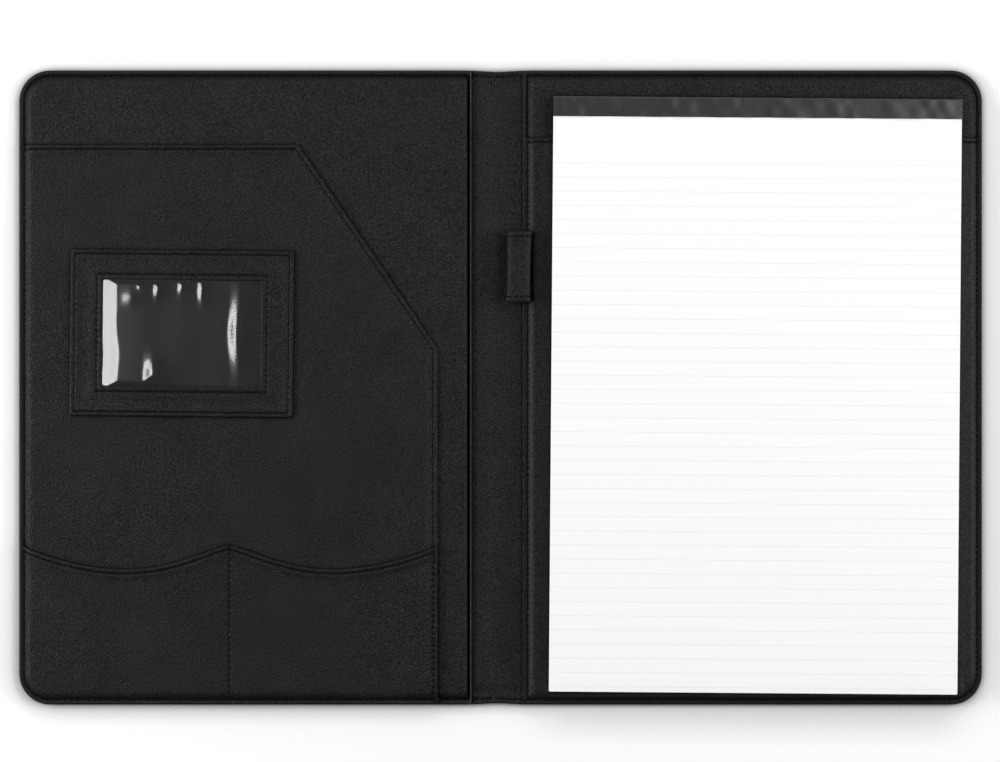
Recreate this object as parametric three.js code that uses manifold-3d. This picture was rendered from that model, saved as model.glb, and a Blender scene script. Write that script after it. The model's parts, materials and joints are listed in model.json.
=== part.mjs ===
// A4 document portfolio with a writing pad, modelled lying open on a table, inner side up.
// Millimetres, +X from the front cover to the back cover, +Y to the head edge, +Z up from the table.
// One outer skin runs over both covers and the spine. It is cut here only at the two fold lines.

import * as THREE from 'three';
import { mergeVertices } from 'three/addons/utils/BufferGeometryUtils.js';
import Module from 'manifold-3d';

const wasm = await Module();
wasm.setup();

// Writing pad. The covers are cut to suit it.
const sheetWidth = 210;
const sheetLength = 296;
const sheetStack = 4.6;
const bindingBand = 10;
const bindingTape = 0.25;
const backingCard = 0.5;
const padTurn = THREE.MathUtils.degToRad(-0.45);

// Margins of the back cover round the pad.
const padMarginHead = 15.1;
const padMarginFoot = 6.9;
const padMarginSpine = 14.9;
const padMarginFree = 12.8;

// Covers and spine.
const frontCoverWidth = 234.1;
const spineWidth = 26.2;
const cornerRadius = 16;
const skinThickness = 0.8;
const foamThickness = 1;
const boardThickness = 1.6;
const liningThickness = 0.7;
const boardInset = 7;
const layerGap = 0.3;
const foldGap = 0.3;

// Turned and stitched edges.
const rimStitch = 2.7;
const rimPress = 0.45;
const skinTurn = 4;
const plateauInset = 7.2;
const frontFoldStitch = 1.4;
const backFoldStitch = 2.6;

// Pockets on the front cover.
const pocketLeather = 0.6;
const hemExtra = 0.4;
const hemWidth = 5;
const borderInset = 1;
const pocketHeadMargin = 38.4;
const pocketSpineMargin = 17.5;
const pocketCutWidth = 72;
const pocketCutHeight = 105.4;
const cardPocketHeight = 84;
const scallopDepth = 12.4;
const dividerFraction = 0.5;

// Card window: a sewn frame over a clear film.
const windowWidth = 81.6;
const windowHeight = 54.6;
const windowBorderX = 16.9;
const windowBorderY = 15.8;
const windowFromFree = 26.7;
const windowBelowPocketHead = 54.5;
const windowTurn = THREE.MathUtils.degToRad(-0.6);
const windowCorner = 1.5;
const filmThickness = 0.2;
const filmLap = 6;

// Pad pocket and pen loop on the back cover.
const headerHeight = 34.8;
const padPocketLeather = 0.5;
const loopLength = 36.3;
const loopWidth = 13.2;
const loopHeight = 7.2;
const loopLeather = 0.9;
const loopHem = 4.6;
const loopHemExtra = 0.3;
const loopOverhang = 8.2;
const loopFromHead = 83.4;
const loopTail = 2.6;
const loopClearance = 0.7;

const arcSteps = 7;

// Heights of the layers above the table.
const skinTop = skinThickness;
const foamBottom = skinTop + layerGap;
const boardBottom = foamBottom + foamThickness + layerGap;
const liningBottom = boardBottom + boardThickness + layerGap;
const coverTop = liningBottom + liningThickness;
const skinTurnTop = 2 * skinThickness + 0.1;
const rimBottom = skinTurnTop + layerGap;
const rimTop = rimBottom + 2 * liningThickness;
const pocketBottom = coverTop + layerGap;
const pocketTop = pocketBottom + pocketLeather;
const secondBottom = pocketTop + layerGap;

// Plan of the open portfolio.
const coverHeight = padMarginHead + bindingBand + sheetLength + padMarginFoot;
const backCoverWidth = padMarginSpine + sheetWidth + padMarginFree;
const openWidth = frontCoverWidth + spineWidth + backCoverWidth;
const headY = coverHeight / 2;
const footY = -headY;
const frontFreeX = -openWidth / 2;
const backFreeX = openWidth / 2;
const frontPanelX = frontFreeX + frontCoverWidth;
const backPanelX = frontPanelX + spineWidth;
const loopLeftX = backPanelX - loopOverhang;

// The front fold lies at the front panel's edge, the back fold just outside the pen loop.
const frontFoldX = frontPanelX + foldGap / 2;
const backFoldX = loopLeftX - loopClearance;

const grainedLeather = { color: 0x1c1c1e, roughness: 0.55, metalness: 0 };
const smoothLining = { color: 0x202022, roughness: 0.42, metalness: 0 };
const foamFinish = { color: 0x3b3b3d, roughness: 0.95, metalness: 0 };
const boardFinish = { color: 0x8c8478, roughness: 0.9, metalness: 0 };
const filmFinish = { color: 0xdfe6ea, roughness: 0.06, metalness: 0 };
const paperFinish = { color: 0xfafafa, roughness: 0.8, metalness: 0 };
const cardFinish = { color: 0x9a9184, roughness: 0.85, metalness: 0 };
const tapeFinish = { color: 0x121214, roughness: 0.2, metalness: 0 };

function mesh(name, geometry, finish) {
  const piece = new THREE.Mesh(geometry, new THREE.MeshStandardMaterial(finish));
  piece.name = name;
  return piece;
}

function solidOf(geometry) {
  const bare = geometry.clone();
  bare.deleteAttribute('normal');
  bare.deleteAttribute('uv');
  const merged = mergeVertices(bare, 1e-4);
  return new wasm.Manifold(new wasm.Mesh({
    numProp: 3,
    vertProperties: new Float32Array(merged.attributes.position.array),
    triVerts: new Uint32Array(merged.index.array),
  }));
}

function geometryOf(solid) {
  const cut = solid.getMesh();
  const geometry = new THREE.BufferGeometry();
  geometry.setAttribute('position', new THREE.BufferAttribute(cut.vertProperties, 3));
  geometry.setIndex(new THREE.BufferAttribute(cut.triVerts, 1));
  geometry.computeVertexNormals();
  return geometry;
}

// An outline is a ring of corners, anticlockwise from above. Edge i runs from corner i to the next
// one, and each edge is drawn in by its own distance. Round corners keep their centre.
function outlineRing(corners, insets) {
  const count = corners.length;
  const points = [];
  for (let i = 0; i < count; i += 1) {
    const before = corners[(i + count - 1) % count];
    const corner = corners[i];
    const after = corners[(i + 1) % count];
    const into = new THREE.Vector2(corner.x - before.x, corner.y - before.y).normalize();
    const out = new THREE.Vector2(after.x - corner.x, after.y - corner.y).normalize();
    const inset = [insets[(i + count - 1) % count], insets[i]];
    const turn = into.cross(out);
    const vertex = new THREE.Vector2(corner.x, corner.y)
      .addScaledVector(out, inset[0] / turn)
      .addScaledVector(into, -inset[1] / turn);
    const radius = corner.r ? Math.max(corner.r - Math.max(...inset), 0.2) : 0;
    if (!radius) {
      points.push(vertex);
      continue;
    }
    const angle = Math.acos(THREE.MathUtils.clamp(into.dot(out), -1, 1));
    const reach = radius * Math.tan(angle / 2);
    const start = vertex.clone().addScaledVector(into, -reach);
    const normal = new THREE.Vector2(-into.y, into.x);
    const centre = start.clone().addScaledVector(normal, radius);
    for (let k = 0; k <= arcSteps; k += 1) {
      const spoke = start.clone().sub(centre);
      spoke.rotateAround(new THREE.Vector2(), (angle * k) / arcSteps);
      points.push(centre.clone().add(spoke));
    }
  }
  return points;
}

// Skins a stack of equal rings. A capped loft is closed by its first ring, facing down, and its last
// ring, facing up. A wrapped loft closes on itself, for a frame or a tube.
function loft(rings, wrapped = false) {
  const size = rings[0].length;
  const position = rings.flat().flatMap((p) => [p.x, p.y, p.z]);
  const index = [];
  const spans = wrapped ? rings.length : rings.length - 1;
  for (let k = 0; k < spans; k += 1) {
    const low = k * size;
    const high = ((k + 1) % rings.length) * size;
    for (let i = 0; i < size; i += 1) {
      const j = (i + 1) % size;
      index.push(low + i, low + j, high + j, low + i, high + j, high + i);
    }
  }
  if (!wrapped) {
    const last = (rings.length - 1) * size;
    const flat = (ring) => ring.map((p) => new THREE.Vector2(p.x, p.y));
    for (const [a, b, c] of THREE.ShapeUtils.triangulateShape(flat(rings[0]), [])) {
      index.push(a, c, b);
    }
    for (const [a, b, c] of THREE.ShapeUtils.triangulateShape(flat(rings.at(-1)), [])) {
      index.push(last + a, last + b, last + c);
    }
  }
  const geometry = new THREE.BufferGeometry();
  geometry.setAttribute('position', new THREE.Float32BufferAttribute(position, 3));
  geometry.setIndex(index);
  geometry.computeVertexNormals();
  return geometry;
}

// A sheet whose section is given from its edge inwards: rows of inset, underside and upper side.
function pressedSheet(corners, rows, edgeInsets) {
  const ringAt = (inset, z) => outlineRing(corners, edgeInsets(inset))
    .map((p) => new THREE.Vector3(p.x, p.y, z));
  const under = rows.map((row) => ringAt(row.inset, row.under)).reverse();
  const over = rows.map((row) => ringAt(row.inset, row.over));
  return loft([...under, ...over]);
}

function prism(points, bottom, top) {
  const shape = new THREE.Shape(points);
  const geometry = new THREE.ExtrudeGeometry(shape, { depth: top - bottom, bevelEnabled: false });
  return geometry.translate(0, 0, bottom);
}

// The strip between an open path and the same path moved sideways to its left.
function bandBeside(path, width) {
  const moved = path.map((point, i) => {
    const into = (i > 0 ? point.clone().sub(path[i - 1]) : path[1].clone().sub(point)).normalize();
    const last = i === path.length - 1;
    const out = (last ? into.clone() : path[i + 1].clone().sub(point)).normalize();
    const mitre = into.clone().add(out).normalize();
    const normal = new THREE.Vector2(-mitre.y, mitre.x);
    return point.clone().addScaledVector(normal, width / Math.max(mitre.dot(into), 0.3));
  });
  return [...path, ...moved.reverse()];
}

const allRim = (inset) => [inset, inset, inset, inset];
const frontEdges = (inset) => [inset, (inset * frontFoldStitch) / rimStitch, inset, inset];
const backEdges = (inset) => [inset, inset, inset, (inset * backFoldStitch) / rimStitch];

const openPlan = [
  { x: frontFreeX, y: footY, r: cornerRadius },
  { x: backFreeX, y: footY, r: cornerRadius },
  { x: backFreeX, y: headY, r: cornerRadius },
  { x: frontFreeX, y: headY, r: cornerRadius },
];
const frontPlan = [
  { x: frontFreeX, y: footY, r: cornerRadius },
  { x: frontPanelX, y: footY },
  { x: frontPanelX, y: headY },
  { x: frontFreeX, y: headY, r: cornerRadius },
];
const backPlan = [
  { x: backPanelX, y: footY },
  { x: backFreeX, y: footY, r: cornerRadius },
  { x: backFreeX, y: headY, r: cornerRadius },
  { x: backPanelX, y: headY },
];

// Outer skin: flat under the boards, curled up at the rim and turned in as a second ply.
const skinRows = [
  { inset: 0, under: skinThickness, over: 0.65 * skinTurnTop },
  { inset: 0.5, under: 0.35 * skinThickness, over: skinTurnTop },
  { inset: 1.6, under: 0, over: skinTurnTop },
  { inset: skinTurn, under: 0, over: skinTurnTop },
  { inset: skinTurn + 1, under: 0, over: skinTop },
  { inset: plateauInset, under: 0, over: skinTop },
];

// Cover lining: turned under at the rim, pressed in by the stitches, then up over the board.
const liningRows = [
  { inset: 0, under: rimBottom + 0.45, over: rimTop - 0.65 },
  { inset: 0.35, under: rimBottom + 0.1, over: rimTop - 0.25 },
  { inset: borderInset, under: rimBottom, over: rimTop },
  { inset: 1.9, under: rimBottom, over: rimTop - 0.15 },
  { inset: rimStitch, under: rimBottom, over: rimTop - rimPress },
  { inset: rimStitch + 1.1, under: rimBottom, over: rimTop - 0.2 },
  { inset: 5, under: rimBottom + 0.4 * (liningBottom - rimBottom), over: coverTop - 0.8 },
  { inset: plateauInset - 1, under: liningBottom - 0.1, over: coverTop - 0.1 },
  { inset: plateauInset, under: liningBottom, over: coverTop },
];

// Spine lining: the same rim, but with nothing under it but the skin.
const spineTop = foamBottom + liningThickness;
const spineRows = [
  { inset: 0, under: rimBottom + 0.4, over: rimTop - 0.65 },
  { inset: 0.35, under: rimBottom + 0.1, over: rimTop - 0.3 },
  { inset: borderInset, under: rimBottom, over: rimTop - 0.1 },
  { inset: rimStitch, under: rimBottom, over: rimTop - 0.1 - rimPress },
  { inset: skinTurn, under: rimBottom, over: rimTop - 0.55 },
  { inset: skinTurn + 1.2, under: foamBottom, over: spineTop + 0.3 },
  { inset: plateauInset, under: foamBottom, over: spineTop },
];

function slab(corners, inset, bottom, top) {
  const rows = [{ inset, under: bottom, over: top }];
  return pressedSheet(corners, rows, allRim);
}

function cutBetween(geometry, left, right) {
  const tall = 60;
  const block = new THREE.BoxGeometry(right - left, 2 * coverHeight, tall);
  block.translate((left + right) / 2, 0, 0);
  return geometryOf(solidOf(geometry).intersect(solidOf(block)));
}

function spineStrip(left, right) {
  const half = [];
  for (const row of spineRows) half.push([footY + row.inset, row.over]);
  const upper = [...half, ...half.map(([y, z]) => [-y, z]).reverse()];
  const low = spineRows.map((row) => [footY + row.inset, row.under]);
  const lower = [...low.map(([y, z]) => [-y, z]), ...low.reverse()];
  const shape = new THREE.Shape([...upper, ...lower].map(([y, z]) => new THREE.Vector2(y, z)));
  const geometry = new THREE.ExtrudeGeometry(shape, { depth: right - left, bevelEnabled: false });
  geometry.rotateX(Math.PI / 2);
  geometry.rotateZ(Math.PI / 2);
  return geometry.translate(left, 0, 0);
}

function coverPieces() {
  const skin = pressedSheet(openPlan, skinRows, allRim);
  const halfGap = foldGap / 2;
  const past = openWidth;
  return [
    mesh('front_outer_skin', cutBetween(skin, -past, frontFoldX - halfGap), grainedLeather),
    mesh('spine_outer_skin', cutBetween(skin, frontFoldX + halfGap, backFoldX - halfGap),
      grainedLeather),
    mesh('back_outer_skin', cutBetween(skin, backFoldX + halfGap, past), grainedLeather),
    mesh('front_foam', slab(frontPlan, boardInset, foamBottom, foamBottom + foamThickness),
      foamFinish),
    mesh('back_foam', slab(backPlan, boardInset, foamBottom, foamBottom + foamThickness),
      foamFinish),
    mesh('front_board', slab(frontPlan, boardInset, boardBottom, boardBottom + boardThickness),
      boardFinish),
    mesh('back_board', slab(backPlan, boardInset, boardBottom, boardBottom + boardThickness),
      boardFinish),
    mesh('front_lining', pressedSheet(frontPlan, liningRows, frontEdges), grainedLeather),
    mesh('back_lining', pressedSheet(backPlan, liningRows, backEdges), grainedLeather),
    mesh('spine_lining', spineStrip(frontFoldX + halfGap, backFoldX - halfGap), grainedLeather),
    mesh('spine_lining_back_edge', spineStrip(backFoldX + halfGap, backPanelX - layerGap),
      grainedLeather),
  ];
}

// A second layer sewn over a lining: it follows the lining's pressed border at a steady lift.
function layerRows(lift, thickness) {
  return liningRows
    .filter((row) => row.inset >= borderInset)
    .map((row) => ({
      inset: row.inset,
      under: row.over + lift,
      over: row.over + lift + thickness,
    }));
}

// A sewn panel: the part of a full layer that lies inside an outline, with a folded hem along a path.
function hemmedPanel(plan, edges, lift, outline, hemPath) {
  const reach = 40;
  const layer = pressedSheet(plan, layerRows(lift, pocketLeather), edges);
  const panel = solidOf(layer).intersect(solidOf(prism(outline, -reach, reach)));
  const thick = pressedSheet(plan, layerRows(lift, pocketLeather + hemExtra), edges);
  const hem = prism(bandBeside(hemPath, hemWidth), -reach, reach);
  return geometryOf(panel.add(solidOf(thick).intersect(solidOf(hem))));
}

const pocketHeadY = headY - pocketHeadMargin;
const pocketSpineX = frontPanelX - pocketSpineMargin;
const beyond = 20;

function documentPocket() {
  const head = new THREE.Vector2(frontFreeX - beyond, pocketHeadY);
  const cutHigh = new THREE.Vector2(pocketSpineX - pocketCutWidth, pocketHeadY);
  const cutLow = new THREE.Vector2(pocketSpineX, pocketHeadY - pocketCutHeight);
  const foot = new THREE.Vector2(pocketSpineX, footY - beyond);
  const outline = [new THREE.Vector2(frontFreeX - beyond, footY - beyond), foot, cutLow, cutHigh, head];
  const path = [foot, cutLow, cutHigh, head];
  const geometry = hemmedPanel(frontPlan, frontEdges, layerGap, outline, path);
  return mesh('front_document_pocket', geometry, grainedLeather);
}

// The two card pockets are one panel with a scalloped head, divided by a line of stitches. Its spine
// side lies over the document pocket's hem.
function cardPockets() {
  const right = pocketSpineX - layerGap;
  const left = frontFreeX;
  const top = footY + cardPocketHeight;
  const middle = left + dividerFraction * (right - left);
  const steps = 14;
  const path = [new THREE.Vector2(right, footY - beyond)];
  for (const [from, to] of [[right, middle], [middle, left]]) {
    for (let k = 0; k < steps; k += 1) {
      const t = k / steps;
      const dip = scallopDepth * Math.sin(Math.PI * t);
      path.push(new THREE.Vector2(from + (to - from) * t, top - dip));
    }
  }
  path.push(new THREE.Vector2(left, top), new THREE.Vector2(left - beyond, top));
  const outline = [new THREE.Vector2(left - beyond, footY - beyond), ...path];
  const lift = secondBottom + hemExtra - coverTop;
  const geometry = hemmedPanel(frontPlan, frontEdges, lift, outline, path);
  return mesh('front_card_pockets', geometry, grainedLeather);
}

// Window frame: rings run from the outer hem over the film's lap to the hemmed opening and back.
function cardWindow() {
  const halfX = windowWidth / 2;
  const halfY = windowHeight / 2;
  const centreX = frontFreeX + windowFromFree + windowBorderX + halfX;
  const centreY = pocketHeadY - windowBelowPocketHead - windowBorderY - halfY;
  const group = new THREE.Group();
  group.position.set(centreX, centreY, 0);
  group.rotation.z = windowTurn;

  const plan = (outX, outY, z) => outlineRing([
    { x: -halfX - outX, y: -halfY - outY, r: windowCorner },
    { x: halfX + outX, y: -halfY - outY, r: windowCorner },
    { x: halfX + outX, y: halfY + outY, r: windowCorner },
    { x: -halfX - outX, y: halfY + outY, r: windowCorner },
  ], [0, 0, 0, 0]).map((p) => new THREE.Vector3(p.x, p.y, z));
  const fromEdge = (inset, z) => plan(windowBorderX - inset, windowBorderY - inset, z);
  const fromOpening = (out, z) => plan(out, out, z);

  const low = secondBottom;
  const lap = low + filmThickness + layerGap;
  const top = low + pocketLeather;
  const lapTop = lap + pocketLeather;
  const frame = loft([
    fromOpening(0, lap + 0.2),
    fromOpening(0.4, lap),
    fromOpening(filmLap + 0.4, lap),
    fromOpening(filmLap + 1.2, low),
    fromEdge(0.4, low),
    fromEdge(0, low + 0.3),
    fromEdge(0, top),
    fromEdge(0.4, top + hemExtra),
    fromEdge(hemWidth, top + hemExtra),
    fromEdge(hemWidth + 0.4, top),
    fromOpening(filmLap + 1.2, lapTop - 0.2),
    fromOpening(hemWidth, lapTop + hemExtra),
    fromOpening(0.4, lapTop + hemExtra),
    fromOpening(0, lapTop),
  ], true);
  const film = loft([
    fromOpening(filmLap, low),
    fromOpening(filmLap, low + filmThickness),
  ]);
  group.add(
    mesh('card_window_frame', frame, grainedLeather),
    mesh('card_window_film', film, filmFinish),
  );
  return group;
}

// Heights of the pad, its pocket panel and its tape over the back lining.
const tapeUnder = coverTop + layerGap;
const cardBottom = tapeUnder + bindingTape + layerGap;
const panelBottom = cardBottom + backingCard + layerGap;
const panelTop = panelBottom + padPocketLeather;
const stackBottom = panelTop + hemExtra + layerGap;
const stackTop = stackBottom + sheetStack;
const tapeOver = stackTop + layerGap;

// The pad pocket takes the pad's card back. It stands off the lining by the card, inside its stitches.
function padPocket() {
  const cornerDrop = Math.abs(Math.sin(padTurn)) * (sheetWidth / 2);
  const cardInset = padMarginFoot - cornerDrop - layerGap;
  const border = layerRows(layerGap, padPocketLeather)
    .filter((row) => row.inset <= rimStitch + 0.1);
  const panelRows = (extra) => [
    ...border,
    { inset: (rimStitch + cardInset) / 2, under: (rimTop + panelBottom) / 2 + 0.5,
      over: (rimTop + panelBottom) / 2 + 0.5 + padPocketLeather },
    { inset: cardInset, under: panelBottom, over: panelTop },
    { inset: cardInset + 1, under: panelBottom, over: panelTop },
  ].map((row) => ({ ...row, over: row.over + extra }));
  const topY = headY - headerHeight;
  const reach = 40;
  const far = openWidth;
  const corner = (x, y) => new THREE.Vector2(x, y);
  const whole = [corner(-far, footY - beyond), corner(far, footY - beyond), corner(far, topY),
    corner(-far, topY)];
  const hem = [corner(-far, topY - hemWidth), corner(far, topY - hemWidth), corner(far, topY),
    corner(-far, topY)];
  const panel = solidOf(pressedSheet(backPlan, panelRows(0), backEdges))
    .intersect(solidOf(prism(whole, -reach, reach)));
  const fold = solidOf(pressedSheet(backPlan, panelRows(hemExtra), backEdges))
    .intersect(solidOf(prism(hem, -reach, reach)));
  return mesh('pad_pocket_panel', geometryOf(panel.add(fold)), smoothLining);
}

// Writing pad: sheets over a card back, held at the head by a tape folded round both.
function writingPad() {
  const padLength = bindingBand + sheetLength;
  const group = new THREE.Group();
  group.position.set(backPanelX + padMarginSpine + sheetWidth / 2,
    footY + padMarginFoot + padLength / 2, 0);
  group.rotation.z = padTurn;

  const leaf = new THREE.BoxGeometry(sheetWidth, padLength, sheetStack);
  leaf.translate(0, 0, (stackBottom + stackTop) / 2);
  const card = new THREE.BoxGeometry(sheetWidth, padLength, backingCard);
  card.translate(0, 0, cardBottom + backingCard / 2);

  const end = padLength / 2;
  const wrap = new THREE.Shape([
    [end - bindingBand, tapeUnder],
    [end + layerGap, tapeUnder],
    [end + layerGap + bindingTape, tapeUnder + bindingTape],
    [end + layerGap + bindingTape, tapeOver],
    [end + layerGap, tapeOver + bindingTape],
    [end - bindingBand, tapeOver + bindingTape],
    [end - bindingBand, tapeOver],
    [end + layerGap, tapeOver],
    [end + layerGap, tapeUnder + bindingTape],
    [end - bindingBand, tapeUnder + bindingTape],
  ].map(([y, z]) => new THREE.Vector2(y, z)));
  const tape = new THREE.ExtrudeGeometry(wrap, { depth: sheetWidth, bevelEnabled: false });
  tape.rotateX(Math.PI / 2);
  tape.rotateZ(Math.PI / 2);
  tape.translate(-sheetWidth / 2, 0, 0);

  group.add(
    mesh('pad_sheets', leaf, paperFinish),
    mesh('pad_backing_card', card, cardFinish),
    mesh('pad_binding_tape', tape, tapeFinish),
  );
  return group;
}

// Pen loop: a folded strip bent into a flattened tube, hemmed at both mouths. Its joined ends go
// down beside the back panel's edge to the seam.
function penLoop() {
  const bottom = coverTop + layerGap;
  const middle = bottom + loopHeight / 2;
  const centreX = loopLeftX + loopWidth / 2;
  const steps = 9;
  const section = (grow, y) => {
    const radius = loopHeight / 2 + grow;
    const run = (loopWidth - loopHeight) / 2;
    const ring = [];
    for (const [side, from] of [[1, -Math.PI / 2], [-1, Math.PI / 2]]) {
      for (let k = 0; k <= steps; k += 1) {
        const turn = from + (Math.PI * k) / steps;
        ring.push(new THREE.Vector3(
          centreX + side * run + radius * Math.cos(turn), y, middle + radius * Math.sin(turn)));
      }
    }
    return ring;
  };
  const high = headY - loopFromHead;
  const low = high - loopLength;
  const tube = loft([
    section(0, high),
    section(0, high - loopHem),
    section(-loopHemExtra, high - loopHem - 0.4),
    section(-loopHemExtra, low + loopHem + 0.4),
    section(0, low + loopHem),
    section(0, low),
    section(-loopLeather, low),
    section(-loopLeather, high),
  ], true);
  const tailRight = backPanelX - layerGap;
  const tailBottom = spineTop + layerGap;
  const tailTop = bottom + loopLeather / 2;
  const tail = new THREE.BoxGeometry(loopTail, loopLength - 1, tailTop - tailBottom);
  tail.translate(tailRight - loopTail / 2, (high + low) / 2, (tailTop + tailBottom) / 2);
  return mesh('pen_loop', geometryOf(solidOf(tube).add(solidOf(tail))), grainedLeather);
}

const portfolio = new THREE.Group();
portfolio.name = 'document_portfolio';
portfolio.add(...coverPieces(), documentPocket(), cardPockets(), cardWindow(), padPocket(),
  writingPad(), penLoop());

export default portfolio;
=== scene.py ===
import json
import math

import bmesh
import bpy
import numpy as np
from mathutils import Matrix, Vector
from mathutils.bvhtree import BVHTree
from mathutils.geometry import delaunay_2d_cdt


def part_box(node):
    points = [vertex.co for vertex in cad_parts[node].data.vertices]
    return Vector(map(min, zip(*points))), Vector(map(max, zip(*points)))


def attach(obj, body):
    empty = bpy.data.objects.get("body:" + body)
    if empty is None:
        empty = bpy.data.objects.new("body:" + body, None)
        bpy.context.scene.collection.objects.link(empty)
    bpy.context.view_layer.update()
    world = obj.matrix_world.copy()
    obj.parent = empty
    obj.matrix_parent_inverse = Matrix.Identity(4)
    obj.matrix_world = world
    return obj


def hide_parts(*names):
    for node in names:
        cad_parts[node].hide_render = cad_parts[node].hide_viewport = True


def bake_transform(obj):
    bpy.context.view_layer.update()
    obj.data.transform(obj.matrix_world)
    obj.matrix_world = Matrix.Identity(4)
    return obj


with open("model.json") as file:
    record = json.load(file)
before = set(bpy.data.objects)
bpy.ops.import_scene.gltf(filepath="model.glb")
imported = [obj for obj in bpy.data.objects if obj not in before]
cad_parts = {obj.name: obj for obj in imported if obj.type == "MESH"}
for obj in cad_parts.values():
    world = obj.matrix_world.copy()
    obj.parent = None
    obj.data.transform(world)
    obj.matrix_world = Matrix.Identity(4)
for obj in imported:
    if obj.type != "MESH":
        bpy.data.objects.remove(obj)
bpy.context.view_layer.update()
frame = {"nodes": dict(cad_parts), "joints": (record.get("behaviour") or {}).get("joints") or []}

scene = bpy.context.scene

# Camera and studio. The portfolio lies on a white table and is seen straight from above. A softbox stands
# far out at each free edge and a smaller one nearer each cover. One high up at the left and one beyond
# the head put the highlights on the clear film and the tape.
camera_height = 1.75
picture_width = 0.5181
picture_centre = (-0.0003, 0.0034)
sensor_width = 36
camera_data = bpy.data.cameras.new("overhead_camera")
camera_data.sensor_width = sensor_width
camera_data.lens = sensor_width * camera_height / picture_width
camera = bpy.data.objects.new("overhead_camera", camera_data)
camera.location = (*picture_centre, camera_height)
scene.collection.objects.link(camera)
scene.camera = camera


def softbox(name, place, size, power, target=(0, 0, 0)):
    """A rectangular light that faces its target. Lengths are in metres, power in watts."""
    data = bpy.data.lights.new(name, "AREA")
    data.shape = "RECTANGLE"
    data.size, data.size_y = size
    data.energy = power
    light = bpy.data.objects.new(name, data)
    light.location = place
    aim = Vector(target) - Vector(place)
    light.rotation_euler = aim.to_track_quat("-Z", "Y").to_euler()
    scene.collection.objects.link(light)


softbox("left_softbox", (-1.9, 0.1, 0.85), (1.0, 0.4), 23)
softbox("right_softbox", (1.9, 0.1, 0.85), (1.0, 0.4), 23)
softbox("near_left_light", (-0.74, 0.05, 0.38), (0.8, 0.25), 2.4, (-0.12, 0, 0))
softbox("near_right_light", (0.62, 0.15, 0.95), (0.8, 0.25), 4.4, (0.05, 0, 0))
softbox("upper_left_softbox", (-0.85, 0.06, 1.55), (0.7, 0.4), 5.0)
softbox("head_softbox", (0.1, 1.3, 0.85), (1.4, 0.4), 7.0)

world = bpy.data.worlds.new("studio")
world.use_nodes = True
world.node_tree.nodes["Background"].inputs["Color"].default_value = (1, 1, 1, 1)
world.node_tree.nodes["Background"].inputs["Strength"].default_value = 0.12
scene.world = world
scene.view_settings.view_transform = "Standard"


def node(tree, kind, **values):
    """Adds a node. Each value sets its property of that name, or else its input of that name."""
    made = tree.nodes.new(kind)
    for key, value in values.items():
        if hasattr(made, key):
            setattr(made, key, value)
        else:
            made.inputs[key.replace("_", " ")].default_value = value
    return made


def new_material(name):
    """A new material, with its node tree and its main shader."""
    material = bpy.data.materials.new(name)
    material.use_nodes = True
    return material, material.node_tree, material.node_tree.nodes["Principled BSDF"]


floor_half, floor_z = 4.0, -0.0002
floor_corners = [(x * floor_half, y * floor_half, floor_z) for x, y in ((-1, -1), (1, -1), (1, 1), (-1, 1))]
floor_mesh = bpy.data.meshes.new("table")
floor_mesh.from_pydata(floor_corners, [], [(0, 1, 2, 3)])
floor = bpy.data.objects.new("table", floor_mesh)
floor_paint, floor_tree, floor_shader = new_material("white table")
floor_shader.inputs["Roughness"].default_value = 0.9
# Painted shadow: ambient occlusion darkens the table's colour near the portfolio, a drop shadow round its
# edges.
floor_painted_shadow = node(floor_tree, "ShaderNodeAmbientOcclusion", samples=12, Distance=0.03)
floor_shade = node(floor_tree, "ShaderNodeMapRange", From_Min=0.5, To_Min=0.25, To_Max=0.86)
floor_link = floor_tree.links.new
floor_link(floor_painted_shadow.outputs["AO"], floor_shade.inputs["Value"])
floor_link(floor_shade.outputs[0], floor_shader.inputs["Base Color"])
floor_mesh.materials.append(floor_paint)
scene.collection.objects.link(floor)

# Outer skin: one sheet of black grained leatherette under both covers and the spine, turned in round
# its edge and sewn. It is made in two halves that meet in the spine.
MM = 0.001


def side(part, end, axis):
    """One side of a CAD node's box in millimetres. The end is 0 for the low side and 1 for the high one."""
    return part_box(part)[end][axis] / MM


front_free_x = side("front_outer_skin", 0, 0)
back_free_x = side("back_outer_skin", 1, 0)
front_panel_x = side("front_lining", 1, 0)
back_panel_x = side("back_lining", 0, 0)
foot_y, head_y = side("front_outer_skin", 0, 1), side("front_outer_skin", 1, 1)
joint_at = {j["name"]: np.array(j["pos_m"]) / MM for j in frame["joints"]}
back_fold_x = joint_at["spine_fold"][0]
spine_meeting_x = -4.6
corner_radius = 16.0
smallest_radius = 0.2
arc_steps = 14
fill_clearance = 0.7
seam_step = 2.0
spine_pull = 0.7
spine_pull_width = 9.0


def eased(*knots):
    """A smooth curve through (distance, height) knots, level past both ends."""
    at, value = np.array(knots, float).T
    slope = np.diff(value) / np.diff(at)
    before, after = slope[:-1], slope[1:]
    both = np.where(before * after > 0, before + after, 1)
    middle = np.where(before * after > 0, 2 * before * after / both, 0)
    tangent = np.concatenate([[0], middle, [0]])

    def curve(distance):
        d = np.clip(np.asarray(distance, float), at[0], at[-1])
        k = np.clip(np.searchsorted(at, d) - 1, 0, len(at) - 2)
        span = at[k + 1] - at[k]
        t = (d - at[k]) / span
        rise = value[k + 1] - value[k]
        start, end = tangent[k] * span, tangent[k + 1] * span
        return value[k] + t * start + t**2 * (3 * rise - 2 * start - end) + t**3 * (start + end - 2 * rise)

    return curve


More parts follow.
